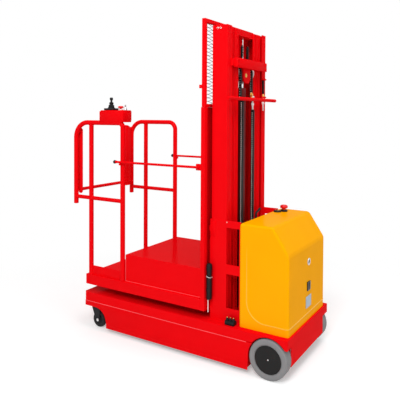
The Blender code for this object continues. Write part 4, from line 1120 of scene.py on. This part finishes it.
# Controls on the platform's rail
def make_control_case():
    """A case with a lid, an edge that comes down over the rail, and a screw in each corner."""
    near, far = corners("control_box")
    lid, edge_drop = 0.006, 0.012
    box = Batch("control_case", "red_paint", "platform")
    box.box((near.x + 0.0006, near.y + 0.002, near.z - edge_drop),
            (far.x - 0.0006, far.y + 0.009, far.z - lid), 0.003)
    box.box(near, (far.x, far.y, far.z - lid), 0.003)
    box.box((near.x + 0.002, near.y + 0.002, far.z - lid), (far.x - 0.002, far.y - 0.002, far.z), 0.002)
    box.done("control_box")
    screws = Batch("control_screws", "steel", "platform", "zinc")
    for x in (near.x + 0.010, far.x - 0.010):
        for y in (near.y + 0.009, far.y - 0.009):
            screws.dome((x, y, far.z), UP, 0.0032, 0.0016, 14)
    screws.done()


def make_controls():
    """Case, joystick with its bellows, stop button and key lock."""
    make_control_case()
    near, far = corners("joystick")
    tall = far.z - near.z
    stick = Batch("joystick_body", "black_plastic", "platform", angle=50)
    stick.box(near, (far.x, far.y, near.z + 0.014), 0.003)
    stick.turned(((0, 0.012), (0.027, 0.013), (0.026, 0.018), (0.021, 0.019), (0.023, 0.024), (0.019, 0.028),
                  (0.021, 0.033), (0.017, 0.038), (0.012, 0.041), (0.0155, 0.045), (0.0155, 0.054),
                  (0.0075, 0.058), (0.0070, 0.068), (0.0110, 0.073), (0.0118, tall - 0.006), (0.0085, tall),
                  (0, tall)), foot_of("joystick"), UP, 32)
    stick.done("joystick")
    mushroom("platform_stop", "platform_stop_button", "platform", "white_plastic")
    x, y, foot_z = foot_of("platform_key_switch")
    top_z, neck_z, bow_z = high("platform_key_switch").z, foot_z + 0.019, foot_z + 0.028
    key = Batch("key_lock", "steel", "platform", "zinc")
    key.turned(((0, 0), (0.012, 0), (0.012, 0.010), (0.0105, 0.013), (0.008, 0.013), (0.008, 0.018),
                (0.0068, 0.020), (0, 0.020)), (x, y, foot_z), UP, 30)
    key.plate([(y - 0.007, neck_z), (y + 0.007, neck_z), (y + 0.010, bow_z), (y + 0.006, top_z),
               (y - 0.006, top_z), (y - 0.010, bow_z)], "X", x - 0.0012, x + 0.0012, 0.0004)
    key.done("platform_key_switch")


# Mesh guard: thin strands round the diamond holes
MESH_COLUMNS, MESH_ROWS = 5, 24
STRAND_HALF = 0.0010


def strand(shape, a, b, half_deep):
    """A flat strip from a to b, both at one x."""
    across = Vector((0, -(b - a).z, (b - a).y)).normalized() * STRAND_HALF
    deep = Vector((half_deep, 0, 0))
    signs = ((1, 1), (-1, 1), (-1, -1), (1, -1))
    prism(shape, [[p + s * across + d * deep for s, d in signs] for p in (a, b)])


def make_mesh():
    """The guard's strands, which cross in diamonds, and the small hook on its post."""
    node = "guard_mesh"
    near, far = corners(node)
    x = (near.x + far.x) / 2
    half_wide = (far.y - near.y) / MESH_COLUMNS / 2
    half_tall = (far.z - near.z) / MESH_ROWS / 2
    # The strands are drawn dark grey-red, though their slot is red paint.
    mesh = Batch("mesh_strands", "red_paint", "platform", "mesh_strand_dark", 60)
    for row in range(2 * MESH_ROWS):
        for column in range(2 * MESH_COLUMNS):
            y, z = near.y + column * half_wide, near.z + row * half_tall
            start, end = (z, z + half_tall) if (row + column) % 2 == 0 else (z + half_tall, z)
            shape = bmesh.new()
            strand(shape, Vector((x, y, start)), Vector((x, y + half_wide, end)), (far.x - near.x) * 0.42)
            merged(mesh.shape, shape)
    mesh.done(node)
    post = high("guard_frame")
    hook_foot_z, hook_top_z = 1.706, 1.728
    Batch("guard_hook", "red_paint", "platform").box(
        (post.x - 0.004, post.y - 0.020, hook_foot_z),
        (post.x + 0.020, post.y - 0.002, hook_top_z), 0.001).done()


# Floor and light
FLOOR_HALF = 60
FLOOR_WHITE = 0.80
FLOOR_GLOW = 0.34               # added to the floor for seen rays only
FADE_START, FADE_END = 1.3, 2.4     # distances from the frame's origin where the seen floor turns white
WORLD_LIGHT = 0.50
LAMPS = (                       # name, place, target, size, power
    ("key", (-1.5, 4.9, 4.8), (0, 0, 0.9), 2.4, 210),
    ("top", (-1.8, 0.5, 5.5), (0, 0, 0.5), 2.6, 70),
    ("rear", (-5.0, -1.0, 2.0), (0, 0, 0.8), 2.5, 20),
)


def seen_directly(tree):
    """1 for camera, glossy and transmission rays, 0 for the rest."""
    rays = add_node(tree, "LightPath")
    total = rays.outputs["Is Camera Ray"]
    for kind in ("Is Glossy Ray", "Is Transmission Ray"):
        total = add_node(tree, "Math", {0: total, 1: rays.outputs[kind]}, operation="MAXIMUM").outputs[0]
    return total


def make_floor():
    """A white floor that takes the shadow, and turns to plain white further out where it is seen."""
    shape = bmesh.new()
    bmesh.ops.create_grid(shape, x_segments=1, y_segments=1, size=FLOOR_HALF)
    floor = bpy.data.objects.new("floor", mesh_of("floor", shape))
    bpy.context.scene.collection.objects.link(floor)
    material, tree, shader = shader_of("floor_white", (FLOOR_WHITE,) * 3, 0.9, shine=0.0)
    seen = seen_directly(tree)
    share = add_node(tree, "Math", {0: seen, 1: FLOOR_GLOW}, operation="MULTIPLY")
    glow = add_node(tree, "Emission", {"Strength": share.outputs[0]})
    both = add_node(tree, "AddShader", {0: shader.outputs[0], 1: glow.outputs[0]})
    place = add_node(tree, "NewGeometry")
    reach = add_node(tree, "VectorMath", {0: place.outputs["Position"]}, operation="LENGTH")
    distance = reach.outputs["Value"]
    fade = add_node(tree, "MapRange", {"Value": distance, "From Min": FADE_START, "From Max": FADE_END})
    away = add_node(tree, "Math", {0: seen, 1: fade.outputs["Result"]}, operation="MULTIPLY")
    white = add_node(tree, "Emission", {"Strength": 1.0})
    last = add_node(tree, "MixShader", {"Fac": away.outputs[0], 1: both.outputs[0], 2: white.outputs[0]})
    tree.links.new(last.outputs[0], tree.nodes["Material Output"].inputs["Surface"])
    floor.data.materials.append(material)


def make_world():
    """A soft even light, seen as plain white."""
    world = bpy.data.worlds.new("studio")
    bpy.context.scene.world = world
    world.use_nodes = True
    tree = world.node_tree
    lit = tree.nodes["Background"]
    lit.inputs["Color"].default_value = (1, 1, 1, 1)
    lit.inputs["Strength"].default_value = WORLD_LIGHT
    white = add_node(tree, "Background", {"Color": (1, 1, 1, 1)})
    mix = add_node(tree, "MixShader", {"Fac": seen_directly(tree), 1: lit.outputs[0], 2: white.outputs[0]})
    tree.links.new(mix.outputs[0], tree.nodes["World Output"].inputs["Surface"])


def make_lamps():
    for name, place, target, size, power in LAMPS:
        data = bpy.data.lights.new(name, "AREA")
        data.size = size
        data.energy = power
        lamp = bpy.data.objects.new(name, data)
        lamp.location = place
        lamp.rotation_euler = (Vector(target) - Vector(place)).to_track_quat("-Z", "Y").to_euler()
        bpy.context.scene.collection.objects.link(lamp)


make_camera()
make_materials()
dress_frame()
make_wheels()
make_chains()
make_rails()
make_gate()
make_drop_bars()
make_high_bar()
make_tie_beam()
make_head_shield()
make_mast_lips()
make_seams()
make_apron_ends()
make_skirts()
make_crosshead()
make_head_details()
make_braces()
make_strut()
make_cover()
make_rear_fittings()
make_cover_top()
make_deck_connector()
make_controls()
make_mesh()
make_floor()
make_world()
make_lamps()

bpy.context.scene.view_settings.view_transform = "Standard"
